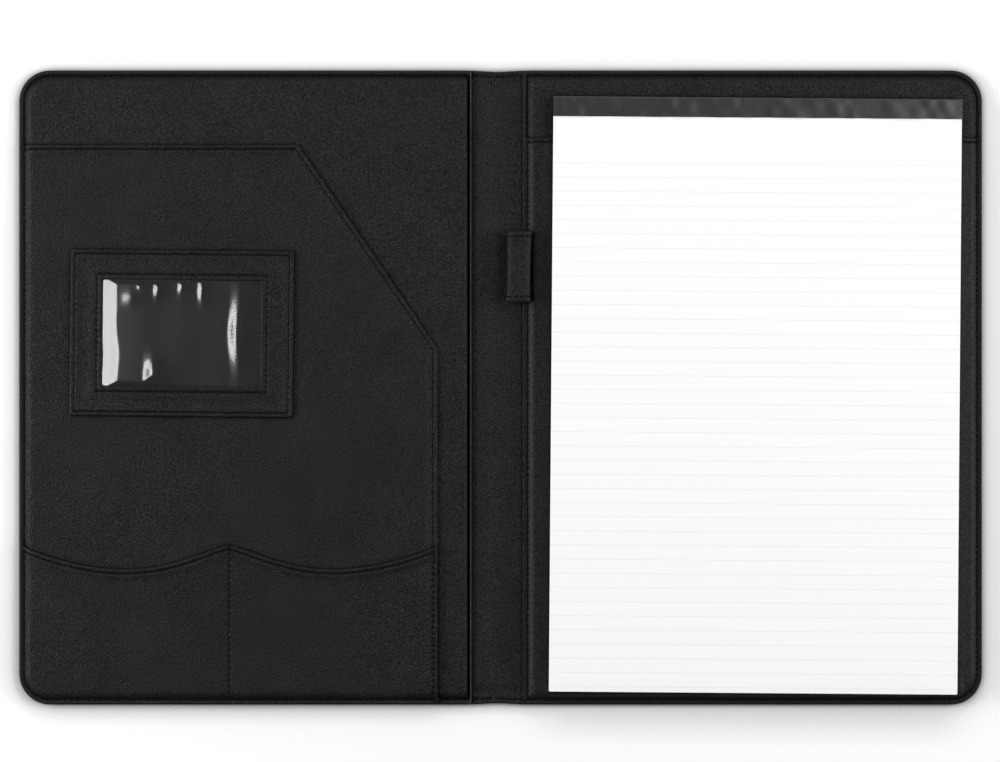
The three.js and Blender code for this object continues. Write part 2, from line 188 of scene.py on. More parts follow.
def rim_distance(x, y):
    """How far a point lies inside the open portfolio's round-cornered outline."""
    half_x, half_y = (back_free_x - front_free_x) / 2, (head_y - foot_y) / 2
    over_x = np.abs(x - (back_free_x + front_free_x) / 2) - (half_x - corner_radius)
    over_y = np.abs(y - (head_y + foot_y) / 2) - (half_y - corner_radius)
    outside = np.hypot(np.maximum(over_x, 0), np.maximum(over_y, 0))
    return corner_radius - outside - np.minimum(np.maximum(over_x, over_y), 0)


def plan_ring(corners, insets, counts):
    """Points round an outline of (x, y, radius) corners whose edges are each drawn in by an inset."""
    size = len(corners)
    turns = []
    for i, (x, y, radius) in enumerate(corners):
        here = np.array((x, y))
        into = here - np.array(corners[i - 1][:2])
        out = np.array(corners[(i + 1) % size][:2]) - here
        into, out = into / np.linalg.norm(into), out / np.linalg.norm(out)
        cross = into[0] * out[1] - into[1] * out[0]
        vertex = here + out * insets[i - 1] / cross - into * insets[i] / cross
        tight = max(radius - max(insets[i - 1], insets[i]), smallest_radius) if radius else 0
        if not tight:
            turns.append([vertex])
            continue
        angle = math.acos(np.clip(into @ out, -1, 1))
        start = vertex - into * tight * math.tan(angle / 2)
        normal = np.array((-into[1], into[0]))
        centre = start + normal * tight
        steps = np.linspace(0, angle, arc_steps + 1)
        turns.append([centre - normal * tight * math.cos(a) + into * tight * math.sin(a) for a in steps])
    ring = []
    for i, turn in enumerate(turns):
        ring += turn
        last, then = turn[-1], turns[(i + 1) % size][0]
        ring += [last + (then - last) * k / counts[i] for k in range(1, counts[i])]
    return np.array(ring)


def filled(inner, spacing, extra=()):
    """Triangles that fill a ring, with points on a grid inside it. Gives the new points and faces."""
    size = len(inner)
    low, high = inner.min(0), inner.max(0)
    following = np.roll(inner, -1, 0)
    grid = [(x, y) for x in np.arange(low[0] + spacing / 2, high[0], spacing)
            for y in np.arange(low[1] + spacing / 2, high[1], spacing)]
    grid = np.array(grid + [tuple(p) for p in extra]).reshape(-1, 2)
    x, y = grid[:, :1], grid[:, 1:]
    rises = (inner[:, 1] > y) != (following[:, 1] > y)
    height = np.where(following[:, 1] == inner[:, 1], 1, following[:, 1] - inner[:, 1])
    crossing = inner[:, 0] + (y - inner[:, 1]) * (following[:, 0] - inner[:, 0]) / height
    inside = (rises & (x < crossing)).sum(1) % 2 == 1
    away = np.hypot(x - inner[:, 0], y - inner[:, 1]).min(1) > fill_clearance
    fill = grid[inside & away]
    points = [Vector(p) for p in (*inner, *fill)]
    edges = [(i, (i + 1) % size) for i in range(size)]
    inside_only, tolerance = 1, 1e-6
    _, _, faces, origin, _, _ = delaunay_2d_cdt(points, edges, [], inside_only, tolerance)
    source = [ids[0] for ids in origin]
    return fill, [[source[i] for i in face] for face in faces]


def ring_walls(count, size, closed=False):
    """Faces from each ring of points to the next, and if closed from the last ring to the first."""
    faces = []
    for k in range(count if closed else count - 1):
        here, then = k * size, (k + 1) % count * size
        for i in range(size):
            j = (i + 1) % size
            faces.append((here + i, here + j, then + j, then + i))
    return faces


def ends_drawn_in(points):
    """Points in millimetres, with the ends of the soft spine pulled in a little."""
    placed = np.array(points, float)
    near = np.exp(-(((placed[:, 0] - (front_panel_x + back_panel_x) / 2) / spine_pull_width) ** 2))
    placed[:, 1] *= 1 - spine_pull * near / head_y
    return placed


def solid_mesh(name, points, faces, material, sharp=50):
    """A closed, smooth-shaded piece from points in millimetres."""
    placed = ends_drawn_in(points)
    mesh = bpy.data.meshes.new(name)
    mesh.from_pydata((placed * MM).tolist(), [], faces)
    build = bmesh.new()
    build.from_mesh(mesh)
    bmesh.ops.recalc_face_normals(build, faces=build.faces)
    build.to_mesh(mesh)
    build.free()
    mesh.polygons.foreach_set("use_smooth", [True] * len(mesh.polygons))
    mesh.set_sharp_from_angle(angle=math.radians(sharp))
    mesh.materials.append(material)
    obj = bpy.data.objects.new(name, mesh)
    scene.collection.objects.link(obj)
    return obj


def sheet(name, corners, insets, edges, under, over, material, spacing=9.0, extra=(), step=seam_step):
    """A sheet over an outline, as its object and its surface for ray casts.

    insets are the distances of its rings from the edge, and edges turns one into an inset for each side.
    under and over give the heights of its two faces at any x and y.
    """
    outline = np.array([c[:2] for c in corners])
    lengths = np.hypot(*(np.roll(outline, -1, 0) - outline).T)
    counts = [max(1, round(length / step)) for length in lengths]
    rings = np.array([plan_ring(corners, edges(inset), counts) for inset in insets])
    size = rings.shape[1]
    fill, caps = filled(rings[-1], spacing, extra)
    plan = np.concatenate([rings[::-1].reshape(-1, 2), rings.reshape(-1, 2), fill, fill])
    half, total = len(insets) * size, 2 * len(insets) * size
    low = np.concatenate([np.arange(half), np.arange(total, total + len(fill))])
    high = np.concatenate([np.arange(half, total), np.arange(total + len(fill), len(plan))])
    heights = np.empty(len(plan))
    heights[low] = under(*plan[low].T)
    heights[high] = over(*plan[high].T)
    faces = ring_walls(2 * len(insets), size)
    for cap in caps:
        faces.append([i if i < size else total + i - size for i in reversed(cap)])
        faces.append([total - size + i if i < size else total + len(fill) + i - size for i in cap])
    points = np.column_stack([plan, heights])
    tree = BVHTree.FromPolygons(points.tolist(), faces)
    return solid_mesh(name, points, faces, material), tree


def height_on(trees, miss=0.0):
    """Gives the height of the highest of these surfaces at each x and y, in millimetres."""
    above_all = 60

    def height(x, y):
        out = np.full(np.shape(x), miss, float)
        for i, (px, py) in enumerate(zip(x, y)):
            for tree in trees:
                hit = tree.ray_cast(Vector((px, py, above_all)), Vector((0, 0, -1)))[0]
                if hit is not None:
                    out[i] = max(out[i], hit.z)
        return out

    return height


def leather_grain_group():
    """Pebbled leather grain: its height, a mask of slow lighter patches, and one of fine specks."""
    crease_depth = 1.4
    group = bpy.data.node_groups.new("leather grain", "ShaderNodeTree")
    face = group.interface
    face.new_socket(name="Vector", in_out="INPUT", socket_type="NodeSocketVector")
    for name, value in (("Pebbles", 900.0), ("Creases", 160.0), ("Patches", 45.0)):
        face.new_socket(name=name, in_out="INPUT", socket_type="NodeSocketFloat").default_value = value
    for name in ("Height", "Patch", "Speck"):
        face.new_socket(name=name, in_out="OUTPUT", socket_type="NodeSocketFloat")
    into, out = group.nodes.new("NodeGroupInput"), group.nodes.new("NodeGroupOutput")
    link = group.links.new
    pebbles = node(group, "ShaderNodeTexVoronoi", feature="SMOOTH_F1", Smoothness=0.6)
    creases = node(group, "ShaderNodeTexNoise", Detail=5.0, Roughness=0.6)
    patches = node(group, "ShaderNodeTexNoise", Detail=4.0, Roughness=0.62)
    specks = node(group, "ShaderNodeTexNoise", Detail=3.0, Roughness=0.7)
    for texture, name in ((pebbles, "Pebbles"), (creases, "Creases"), (patches, "Patches"),
                          (specks, "Pebbles")):
        link(into.outputs["Vector"], texture.inputs["Vector"])
        link(into.outputs[name], texture.inputs["Scale"])
    dome = node(group, "ShaderNodeMath", operation="MULTIPLY_ADD")
    dome.inputs[1].default_value, dome.inputs[2].default_value = -1.0, 1.0
    link(pebbles.outputs["Distance"], dome.inputs[0])
    crease = node(group, "ShaderNodeMath", operation="MULTIPLY_ADD")
    crease.inputs[1].default_value = crease_depth
    link(creases.outputs[0], crease.inputs[0])
    link(dome.outputs[0], crease.inputs[2])
    link(crease.outputs[0], out.inputs["Height"])
    link(patches.outputs[0], out.inputs["Patch"])
    link(specks.outputs[0], out.inputs["Speck"])
    return group


grain_group = leather_grain_group()


def leather(name, dark, light, roughness, pebbles, bump, specular=0.19):
    """Leatherette over the grain group.

    Its colour and roughness shift with the slow patches. The specks change its colour and shine, and
    both are darkened by painted shade, from ambient occlusion, where surfaces meet in a crease or under a
    fold.
    """
    material, tree, skin = new_material(name)
    link = tree.links.new
    place = node(tree, "ShaderNodeTexCoord")
    grain = node(tree, "ShaderNodeGroup", node_tree=grain_group)
    grain.inputs["Pebbles"].default_value = pebbles
    link(place.outputs["Object"], grain.inputs["Vector"])
    tint = node(tree, "ShaderNodeMix", data_type="RGBA", A=(*dark, 1), B=(*light, 1))
    spread = node(tree, "ShaderNodeMapRange", From_Min=0.3, From_Max=0.7)
    link(grain.outputs["Patch"], spread.inputs["Value"])
    link(spread.outputs[0], tint.inputs["Factor"])
    worn = node(tree, "ShaderNodeMapRange", From_Min=0.38, From_Max=0.68, To_Min=0.45, To_Max=1.85)
    link(grain.outputs["Speck"], worn.inputs["Value"])
    speckled = node(tree, "ShaderNodeVectorMath", operation="SCALE")
    link(tint.outputs["Result"], speckled.inputs[0])
    link(worn.outputs[0], speckled.inputs["Scale"])
    # Painted shade: ambient occlusion darkens the colour in creases, seams and under folds.
    crease = node(tree, "ShaderNodeAmbientOcclusion", samples=6, Distance=0.003)
    shade = node(tree, "ShaderNodeMapRange", From_Min=0.34, From_Max=0.88)
    link(crease.outputs["AO"], shade.inputs["Value"])
    speckled_with_painted_shade = node(tree, "ShaderNodeVectorMath", operation="SCALE")
    link(speckled.outputs[0], speckled_with_painted_shade.inputs[0])
    link(shade.outputs[0], speckled_with_painted_shade.inputs["Scale"])
    link(speckled_with_painted_shade.outputs[0], skin.inputs["Base Color"])
    # The shine follows the specks and is darkened by the same painted shade.
    shine = node(tree, "ShaderNodeMapRange", From_Max=2.0, To_Min=0.0, To_Max=specular * 2)
    speck_shine_with_painted_shade = node(tree, "ShaderNodeMath", operation="MULTIPLY")
    link(shade.outputs[0], speck_shine_with_painted_shade.inputs[0])
    link(worn.outputs[0], speck_shine_with_painted_shade.inputs[1])
    link(speck_shine_with_painted_shade.outputs[0], shine.inputs["Value"])
    link(shine.outputs[0], skin.inputs["Specular IOR Level"])
    gloss = node(tree, "ShaderNodeMapRange", To_Min=roughness - 0.05, To_Max=roughness + 0.06)
    link(grain.outputs["Patch"], gloss.inputs["Value"])
    link(gloss.outputs[0], skin.inputs["Roughness"])
    relief = node(tree, "ShaderNodeBump", Strength=bump, Distance=0.00035)
    link(grain.outputs["Height"], relief.inputs["Height"])
    link(relief.outputs[0], skin.inputs["Normal"])
    return material


grained = leather("black grained leatherette", dark=(0.003, 0.003, 0.0031), light=(0.006, 0.006, 0.0062),
                  roughness=0.5, pebbles=1500, bump=0.8)

skin_insets = (0, 0.15, 0.4, 0.8, 1.4, 2.1, 2.7, 3.3, 4.2, 5.5, 7.2)
skin_under = eased((0, 0.85), (0.15, 0.5), (0.4, 0.25), (0.8, 0.08), (1.4, 0.0), (2.4, 0.1), (2.7, 0.14),
                   (3.0, 0.1), (4.2, 0.0))
skin_over = eased((0, 1.15), (0.4, 1.6), (4.2, 1.6), (5.5, 0.8), (7.2, 0.8))
# The share of each inset at the sides where two halves meet, which leaves them nearly upright.
meeting = 0.02
front_outline = [(front_free_x, foot_y, corner_radius), (spine_meeting_x, foot_y, 0),
                 (spine_meeting_x, head_y, 0), (front_free_x, head_y, corner_radius)]
back_outline = [(spine_meeting_x, foot_y, 0), (back_free_x, foot_y, corner_radius),
                (back_free_x, head_y, corner_radius), (spine_meeting_x, head_y, 0)]


def on_rim(curve):
    """Heights that depend only on the distance inside the portfolio's edge."""
    return lambda x, y: curve(rim_distance(x, y))


skin_front, _ = sheet(
    "outer_skin_front_half", front_outline, skin_insets, lambda d: [d, meeting * d, d, d],
    on_rim(skin_under), on_rim(skin_over), grained)
skin_back, _ = sheet(
    "outer_skin_back_half", back_outline, skin_insets, lambda d: [d, d, d, meeting * d],
    on_rim(skin_under), on_rim(skin_over), grained)

hinge_z = joint_at["cover_fold"][2]
front_bend_width = 6
back_bend_before, back_bend_after = 5, 1.5
front_bend = [np.array((x, 0, hinge_z)) * MM for x in (front_panel_x, front_panel_x + front_bend_width)]
back_bend = [np.array((x, 0, hinge_z)) * MM
             for x in (back_fold_x - back_bend_before, back_fold_x + back_bend_after)]


def bend_front(piece):
    """Bakes a piece's place into its mesh. It is not bent over the fold beside the front cover."""
    tuple(front_bend[0])
    tuple(front_bend[1])
    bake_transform(piece)


def bend_back(piece):
    """Bakes a piece's place into its mesh. It is not bent over the fold beside the back cover."""
    tuple(back_bend[0])
    tuple(back_bend[1])
    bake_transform(piece)


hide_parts("front_outer_skin", "spine_outer_skin")
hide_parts("back_outer_skin")
bend_front(skin_front)
bend_back(skin_back)

# Boards and foam: greyboard stiffens each cover over a thin foam sheet. They are shut in between the
# skin and the lining and never show.
greyboard, board_tree, board_shader = new_material("greyboard")
board_shader.inputs["Roughness"].default_value = 0.9
board_place = node(board_tree, "ShaderNodeTexCoord")
fibres = node(board_tree, "ShaderNodeTexNoise", Scale=700.0, Detail=6.0)
fibre_tint = node(board_tree, "ShaderNodeMix", data_type="RGBA",
                  A=(0.22, 0.19, 0.16, 1), B=(0.34, 0.31, 0.27, 1))
board_link = board_tree.links.new
board_link(board_place.outputs["Object"], fibres.inputs["Vector"])
board_link(fibres.outputs[0], fibre_tint.inputs["Factor"])
board_link(fibre_tint.outputs["Result"], board_shader.inputs["Base Color"])
foam, foam_tree, foam_shader = new_material("grey foam sheet")
foam_shader.inputs["Base Color"].default_value = (0.05, 0.05, 0.053, 1)
foam_shader.inputs["Roughness"].default_value = 0.95
foam_place = node(foam_tree, "ShaderNodeTexCoord")
foam_cells = node(foam_tree, "ShaderNodeTexVoronoi", Scale=2500.0)
foam_relief = node(foam_tree, "ShaderNodeBump", Strength=0.5, Distance=0.0002)
foam_link = foam_tree.links.new
foam_link(foam_place.outputs["Object"], foam_cells.inputs["Vector"])
foam_link(foam_cells.outputs["Distance"], foam_relief.inputs["Height"])
foam_link(foam_relief.outputs[0], foam_shader.inputs["Normal"])
for name, finish in (("front_board", greyboard), ("back_board", greyboard), ("front_foam", foam),
                     ("back_foam", foam), ("pad_backing_card", greyboard)):
    frame["nodes"][name].data.materials.clear()
    frame["nodes"][name].data.materials.append(finish)

# Linings: each cover has a full lining of the same leatherette. Its edge is folded under, laid on the
# skin's and sewn to it, which leaves a soft rim outside the stitches and a step up to the board inside.
rim_stitch = 2.7
front_fold_stitch = 1.4
back_fold_stitch = 2.6
# The ridge along the front lining's fold: its height, its width and how far it lies inside the fold.
fold_ridge = 1.3
ridge_width = 0.5
ridge_inset = 0.6
no_ridge_x = 1e6
pucker_height = 0.09
lining_insets = (0, 0.12, 0.35, 0.7, 1.1, 1.6, 2.1, 2.45, 2.7, 2.95, 3.3, 3.9, 4.5, 5.1, 5.7, 6.4, 7.4)
lining_over = eased((0, 2.6), (0.12, 2.95), (0.35, 3.2), (0.7, 3.36), (1.1, 3.4), (1.7, 3.32), (2.25, 3.02),
                    (2.7, 2.5), (3.15, 2.95), (4.2, 3.75), (5.1, 4.5), (6.4, 4.96), (7.4, 5.0))
lining_under = eased((0, 2.4), (0.35, 2.1), (1.1, 2.0), (3.3, 2.0), (4.2, 2.5), (5.1, 3.3), (6.4, 4.25),
                     (7.4, 4.3))


def slack(x, y, seed, height=0.12):
    """The slight unevenness of leatherette glued over board, as waves 100 to 260 mm long."""
    wave = np.sin(x / 17 + seed) * np.sin(y / 23 + 2 * seed)
    return height * 0.5 * (wave + np.sin((x + y) / 41 + 3 * seed) + 0.6 * np.sin((x - 1.7 * y) / 29 + seed))


def rising(distance, start, run):
    """Rises evenly from 0 at a distance to 1 over a run past it."""
    return np.clip((distance - start) / run, 0, 1)


def panel_distance(panel_x, stitch):
    """The distance inside a cover's edge, where its fold counts as the rim seam does."""
    def distance(x, y):
        return np.minimum(rim_distance(x, y), np.abs(x - panel_x) * rim_stitch / stitch)

    return distance


def pucker(x, y, distance, seed):
    """Small uneven pulls along a sewn edge, fading out a centimetre inside it."""
    along = x + y
    pull = np.sin(along / 3.1 + seed) * np.sin(along / 7.7 + 2 * seed) + 0.7 * np.sin(along / 12.3 + seed)
    return pucker_height * pull * np.exp(-(((distance - 4.5) / 2.6) ** 2))


def lining_faces(distance, seed, ridge_x=no_ridge_x):
    """The two faces of a cover's lining, with a raised fold along ridge_x."""
    def over(x, y):
        d = distance(x, y)
        ridge = fold_ridge * np.exp(-(((x - ridge_x) / ridge_width) ** 2)) * rising(d, 0.1, 0.7)
        return ridge + lining_over(d) + pucker(x, y, d, seed) + slack(x, y, seed) * rising(d, 4, 12)

    def under(x, y):
        d = distance(x, y)
        return lining_under(d) + np.minimum(slack(x, y, seed), 0) * rising(d, 4, 12)

    return under, over


front_cover_outline = [(front_free_x, foot_y, corner_radius), (front_panel_x, foot_y, 0),
                       (front_panel_x, head_y, 0), (front_free_x, head_y, corner_radius)]
back_cover_outline = [(back_panel_x, foot_y, 0), (back_free_x, foot_y, corner_radius),
                      (back_free_x, head_y, corner_radius), (back_panel_x, head_y, 0)]


def front_edges(d):
    """Insets for the front lining's sides, closer together at its fold, where the seam is nearer."""
    return [d, d * front_fold_stitch / rim_stitch, d, d]


def back_edges(d):
    """Insets for the back lining's sides."""
    return [d, d, d, d * back_fold_stitch / rim_stitch]


front_distance = panel_distance(front_panel_x, front_fold_stitch)
back_distance = panel_distance(back_panel_x, back_fold_stitch)
front_lining, front_lining_tree = sheet(
    "front_lining_leather", front_cover_outline, lining_insets, front_edges,
    *lining_faces(front_distance, 1.3, front_panel_x - ridge_inset), grained)
back_lining, back_lining_tree = sheet(
    "back_lining_leather", back_cover_outline, lining_insets, back_edges,
    *lining_faces(back_distance, 4.1), grained)
# Painted highlight: a lighter, shinier copy of the leatherette on the top of the front lining's fold ridge.
fold_highlight_leather = leather("fold edge with painted highlight", dark=(0.022, 0.022, 0.023), light=(0.036, 0.036, 0.037),
                   roughness=0.42, pebbles=1500, bump=0.5, specular=0.6)
fold_highlight_inset, fold_highlight_half_width, fold_highlight_lowest_z = 0.35, 0.5, 3.0
fold_highlight_x = front_panel_x - fold_highlight_inset
front_lining.data.materials.append(fold_highlight_leather)
for face in front_lining.data.polygons:
    across = abs(face.center.x / MM - fold_highlight_x)
    if across < fold_highlight_half_width and face.center.z / MM > fold_highlight_lowest_z:
        face.material_index = 1
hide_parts("front_lining")
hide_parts("back_lining")
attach(front_lining, "front_cover")
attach(back_lining, "back_cover")

# Spine lining: a low, soft strip glued to the skin between the covers and caught under their folded
# edges. It has no board.
spine_over = eased((0, 2.5), (0.12, 2.8), (0.35, 3.0), (0.7, 3.12), (1.1, 3.12), (1.9, 2.9), (2.7, 2.45),
                   (3.3, 2.5), (4.2, 2.35), (5.7, 1.95), (7.4, 1.8))
spine_under = eased((0, 2.4), (0.35, 2.1), (1.1, 2.0), (3.9, 2.0), (5.7, 1.1), (7.4, 1.1))
spine_rise = eased((0, 0.9), (0.06, 1.1), (0.14, 1.45), (0.22, 1.4), (0.5, 0.45), (0.8, 0.0), (1.0, 0.0))


def spine_face(curve, ripple_height):
    """A face of the spine lining, which arches up beside the front cover and ripples along the spine."""
    def face(x, y):
        d = rim_distance(x, y)
        across = rising(x, front_panel_x, back_panel_x - front_panel_x)
        arch = spine_rise(across) * rising(d, 2, 8)
        ripple = ripple_height * np.sin(y / 9.5 + x / 6) * np.sin(y / 31) * np.sin(math.pi * across)
        return curve(d) + arch + ripple

    return face


tuck = 0.4
spine_ripple = 0.16
spine_faces = spine_face(spine_under, 0), spine_face(spine_over, spine_ripple)
spine_front_outline = [(front_panel_x - tuck, foot_y, 0), (spine_meeting_x, foot_y, 0),
                       (spine_meeting_x, head_y, 0), (front_panel_x - tuck, head_y, 0)]
spine_back_outline = [(spine_meeting_x, foot_y, 0), (back_panel_x + tuck, foot_y, 0),
                      (back_panel_x + tuck, head_y, 0), (spine_meeting_x, head_y, 0)]
spine_front, spine_front_tree = sheet(
    "spine_lining_front_half", spine_front_outline, lining_insets,
    lambda d: [d, meeting * d, d, meeting * d], *spine_faces, grained, spacing=1.6, step=1.5)
spine_back, spine_back_tree = sheet(
    "spine_lining_back_half", spine_back_outline, lining_insets,
    lambda d: [d, meeting * d, d, meeting * d], *spine_faces, grained, spacing=1.6, step=1.5)
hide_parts("spine_lining")
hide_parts("spine_lining_back_edge")
bend_front(spine_front)
bend_back(spine_back)

# Document pocket: a leatherette panel on the front cover, cut slantwise at its spine side. Its open
# edges are folded under and hemmed. Its foot and free sides are caught in the perimeter seam.
pocket_spine_x = side("front_document_pocket", 1, 0)
pocket_head_y = side("front_document_pocket", 1, 1)
cut_width, cut_height = 72, 105.4
pocket_cut_x = pocket_spine_x - cut_width
pocket_cut_y = pocket_head_y - cut_height
layer_gap = 0.3
hem_stitch = 2.5
border = 1.0
hem_lift = eased((0, 0.4), (0.12, 0.75), (0.35, 1.06), (0.8, 1.24), (1.4, 1.26), (2.1, 1.02), (2.5, 0.64),
                 (2.9, 0.96), (3.5, 1.12), (4.6, 1.0), (5.6, 0.68), (7.5, 0.6))
panel_insets = (0, 0.12, 0.35, 0.8, 1.4, 2.0, 2.3, 2.5, 2.7, 3.1, 3.8, 4.7, 5.6, 7.5)


def path_distance(path):
    """How far points lie from an open path of corners."""
    path = np.array(path, float)

    def distance(x, y):
        nearest = np.full(np.shape(x), 1e9)
        for a, b in zip(path[:-1], path[1:]):
            run = b - a
            t = np.clip(((x - a[0]) * run[0] + (y - a[1]) * run[1]) / (run @ run), 0, 1)
            nearest = np.minimum(nearest, np.hypot(x - a[0] - t * run[0], y - a[1] - t * run[1]))
        return nearest

    return distance


def laid_panel(trees, free_path, lift, seed, groove=None):
    """Faces of a panel that lies on other surfaces, hemmed along its free edge."""
    ground, away = height_on(trees), path_distance(free_path)

    def under(x, y):
        return ground(x, y) + lift

    def over(x, y):
        base = ground(x, y) + lift + hem_lift(away(x, y)) + slack(x, y, seed, 0.08)
        return base - (groove(x, y) if groove else 0)

    return under, over


def all_round(sides):
    """Draws in every side of an outline by the same inset."""
    return lambda inset: [inset] * sides


corner_inner = corner_radius - border
pocket_free = [(pocket_spine_x, foot_y), (pocket_spine_x, pocket_cut_y), (pocket_cut_x, pocket_head_y),
               (front_free_x, pocket_head_y)]
pocket_outline = [
    (front_free_x + border, foot_y + border, corner_inner), (pocket_spine_x, foot_y + border, 0),
    (pocket_spine_x, pocket_cut_y, 1.5), (pocket_cut_x, pocket_head_y, 1.5),
    (front_free_x + border, pocket_head_y, 0)]
document_pocket, document_pocket_tree = sheet(
    "document_pocket_leather", pocket_outline, panel_insets, all_round(5),
    *laid_panel([front_lining_tree], pocket_free, layer_gap, 2.2), grained)
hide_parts("front_document_pocket")
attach(document_pocket, "front_cover")

# Card pockets: one panel with two shallow scallops along its head, hemmed, and parted by a line of
# stitches below the point between them.
card_head_y = side("front_card_pockets", 1, 1)
card_spine_x = pocket_spine_x + 0.4
scallop_dip = 12.6
card_rim_y = card_head_y - 1
divider_x = (front_free_x + card_spine_x) / 2 + 0.2
divider_margin, divider_step = 9, 2.5
groove_depth, groove_width = 0.3, 0.7
scallop_steps = 26


def scallops():
    """The scalloped head, from the spine side to the free side."""
    path = []
    for start, end in ((card_spine_x, divider_x), (divider_x, front_free_x + border)):
        for k in range(scallop_steps):
            t = k / scallop_steps
            from_point = t if start == divider_x else 1 - t
            power = 0.86 + 0.3 * (1 - from_point) ** 2
            dip = scallop_dip * math.sin(math.pi * t) ** power
            path.append((start + (end - start) * t, card_rim_y - dip))
    path.append((front_free_x + border, card_rim_y))
    return path


card_free = scallops()
card_outline = [(front_free_x + border, foot_y + border, corner_inner), (card_spine_x, foot_y + border, 0)]
card_outline += [(x, y, 0) for x, y in card_free]
divider_lines = [(divider_x + dx, y) for dx in (-1.6, -0.9, -0.45, 0, 0.45, 0.9, 1.6)
                 for y in np.arange(foot_y + divider_margin, card_head_y - divider_margin, divider_step)]


def divider_groove(x, y):
    """How deep the divider's stitches pull the panel down. It is the same at every y."""
    return groove_depth * np.exp(-(((x - divider_x) / groove_width) ** 2))


card_pockets, card_pockets_tree = sheet(
    "card_pockets_leather", card_outline, panel_insets, all_round(len(card_outline)),
    *laid_panel([front_lining_tree, document_pocket_tree], card_free,
                layer_gap, 3.7, divider_groove), grained, extra=divider_lines)
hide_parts("front_card_pockets")
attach(card_pockets, "front_cover")

# Card window: a leatherette frame sewn on the document pocket over a clear film. The frame's outer
# edge and its opening are folded under and hemmed.
frame_low, frame_high = np.array(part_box("card_window_frame")) / MM
window_x, window_y = (frame_low[:2] + frame_high[:2]) / 2
window_turn = math.radians(-0.6)
window_size = (115.4, 86.2)
opening_size = (81.6, 54.6)
opening_stitch = 3.0
window_hem_stitch = 2.4
window_round = 1.2
window_ripple = 0.07
pocket_at_window = height_on([document_pocket_tree])(np.array([window_x]), np.array([window_y]))[0]
window_base = pocket_at_window + layer_gap
window_outer = eased((0, 0.35), (0.12, 0.75), (0.35, 1.06), (0.8, 1.24), (1.5, 1.24), (2.1, 1.0),
                     (2.4, 0.66), (2.8, 0.98), (3.6, 1.12), (5.0, 0.84), (6.5, 0.7))
window_inner = eased((0, 0.85), (0.12, 1.1), (0.4, 1.34), (1.2, 1.44), (2.4, 1.24), (3.0, 0.84),
                     (3.6, 1.16), (5.0, 1.2), (7.0, 0.85), (8.5, 0.72))


def square_ring(half_x, half_y, radius, counts, inset=0.0):
    """A ring of points round a rectangle about the origin."""
    corners = [(-half_x, -half_y, radius), (half_x, -half_y, radius), (half_x, half_y, radius),
               (-half_x, half_y, radius)]
    return plan_ring(corners, [inset] * 4, counts)


def window_ring(half_x, half_y):
    return square_ring(half_x, half_y, window_round, (50, 36, 50, 36))


def turned(points):
    """Points about the window's middle, put in their place on the cover."""
    c, s = math.cos(window_turn), math.sin(window_turn)
    x, y = points.T
    return np.column_stack([window_x + c * x - s * y, window_y + s * x + c * y])


def from_outer(d):
    return window_ring(window_size[0] / 2 - d, window_size[1] / 2 - d)


def from_opening(d):
    return window_ring(opening_size[0] / 2 + d, opening_size[1] / 2 + d)


window_rings = [(from_opening(0), 0.55), (from_opening(0.4), 0.42), (from_opening(7), 0.42),
                (from_opening(8.5), 0.0), (from_outer(0.3), 0.0), (from_outer(0), 0.12)]
window_rings += [(from_outer(d), float(window_outer(d)))
                 for d in (0, 0.12, 0.35, 0.8, 1.5, 2.1, 2.4, 2.8, 3.6, 5.0, 6.5)]
window_rings += [(from_opening(d), float(window_inner(d)))
                 for d in (8.5, 7.0, 5.0, 3.6, 3.0, 2.4, 1.2, 0.4, 0.12, 0)]
ring_size = len(window_rings[0][0])
window_points = np.concatenate([
    np.column_stack([turned(ring), np.full(ring_size, window_base + lift)]) for ring, lift in window_rings])
window_points[:, 2] += window_ripple * np.sin(window_points[:, 0] / 5.3) * np.sin(window_points[:, 1] / 6.1)
window_faces = ring_walls(len(window_rings), ring_size, closed=True)
window_tree = BVHTree.FromPolygons(window_points.tolist(), window_faces)
card_window = solid_mesh("card_window_leather", window_points, window_faces, grained)
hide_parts("card_window_frame")
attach(card_window, "front_cover")

# Window film: clear, glossy and a little too full for its opening, so it domes and wrinkles and
# catches the softboxes. The stitches round the opening hold its edge.
film_half = (opening_size[0] / 2 + 5, opening_size[1] / 2 + 5)
film_thickness = 0.12
film_over_base = 0.1
film_columns, film_rows = 150, 100
film_across = eased((-45.8, 0.2), (-41.2, 0.3), (-40.4, 0.42), (-37.0, 0.97), (-33.8, 1.5), (-32.6, 1.62),
                    (-27.0, 1.58), (0.0, 1.15), (22.0, 0.9), (36.0, 0.7), (41.2, 0.3), (45.8, 0.2))
film_cap = eased((-3.0, 0.25), (-0.5, 0.75), (0.0, 0.95), (3.5, 1.9), (8.0, 3.2))
# Each pucker: where it starts across the opening, its width and height, and its middle and reach along it.
film_puckers = [(-21.0, 6.5, 1.35, -21.0, 7.5), (-23.5, 3.0, 0.6, 25.5, 3.0), (-15.5, 3.2, 0.65, 23.5, 5.0),
                (-3.0, 3.0, 0.55, 24.5, 4.0), (8.0, 3.2, 0.62, 22.0, 6.0), (-33.0, 7.0, 0.6, 18.0, 4.0),
                (23.6, 6.0, 1.3, 1.0, 18.0)]


def film_height(u, v):
    """Height over the pocket at u, v millimetres from the opening's middle."""
    height = film_across(u + 0.7 * np.sin(v / 9.0) + 0.25 * np.sin(v / 4.1 + 1))
    for start, width, rise, at, reach in film_puckers:
        near = start + 0.6 * np.sin(v / 7.0 + start)
        t = np.clip((u - near) / width, 0, 1)
        ramp = t * t * (3 - 2 * t) * np.exp(-np.clip(u - near - width, 0, None) / width)
        height += 0.85 * rise * ramp * np.exp(-(((v - at) / reach) ** 2))
    height += 0.05 * np.sin(u / 5.7 + v / 8.0) * np.sin(v / 7.0 - u / 9.0)
    edge = np.minimum(opening_size[0] / 2 + 4 - np.abs(u), opening_size[1] / 2 - np.abs(v))
    return np.minimum(height, film_cap(edge))


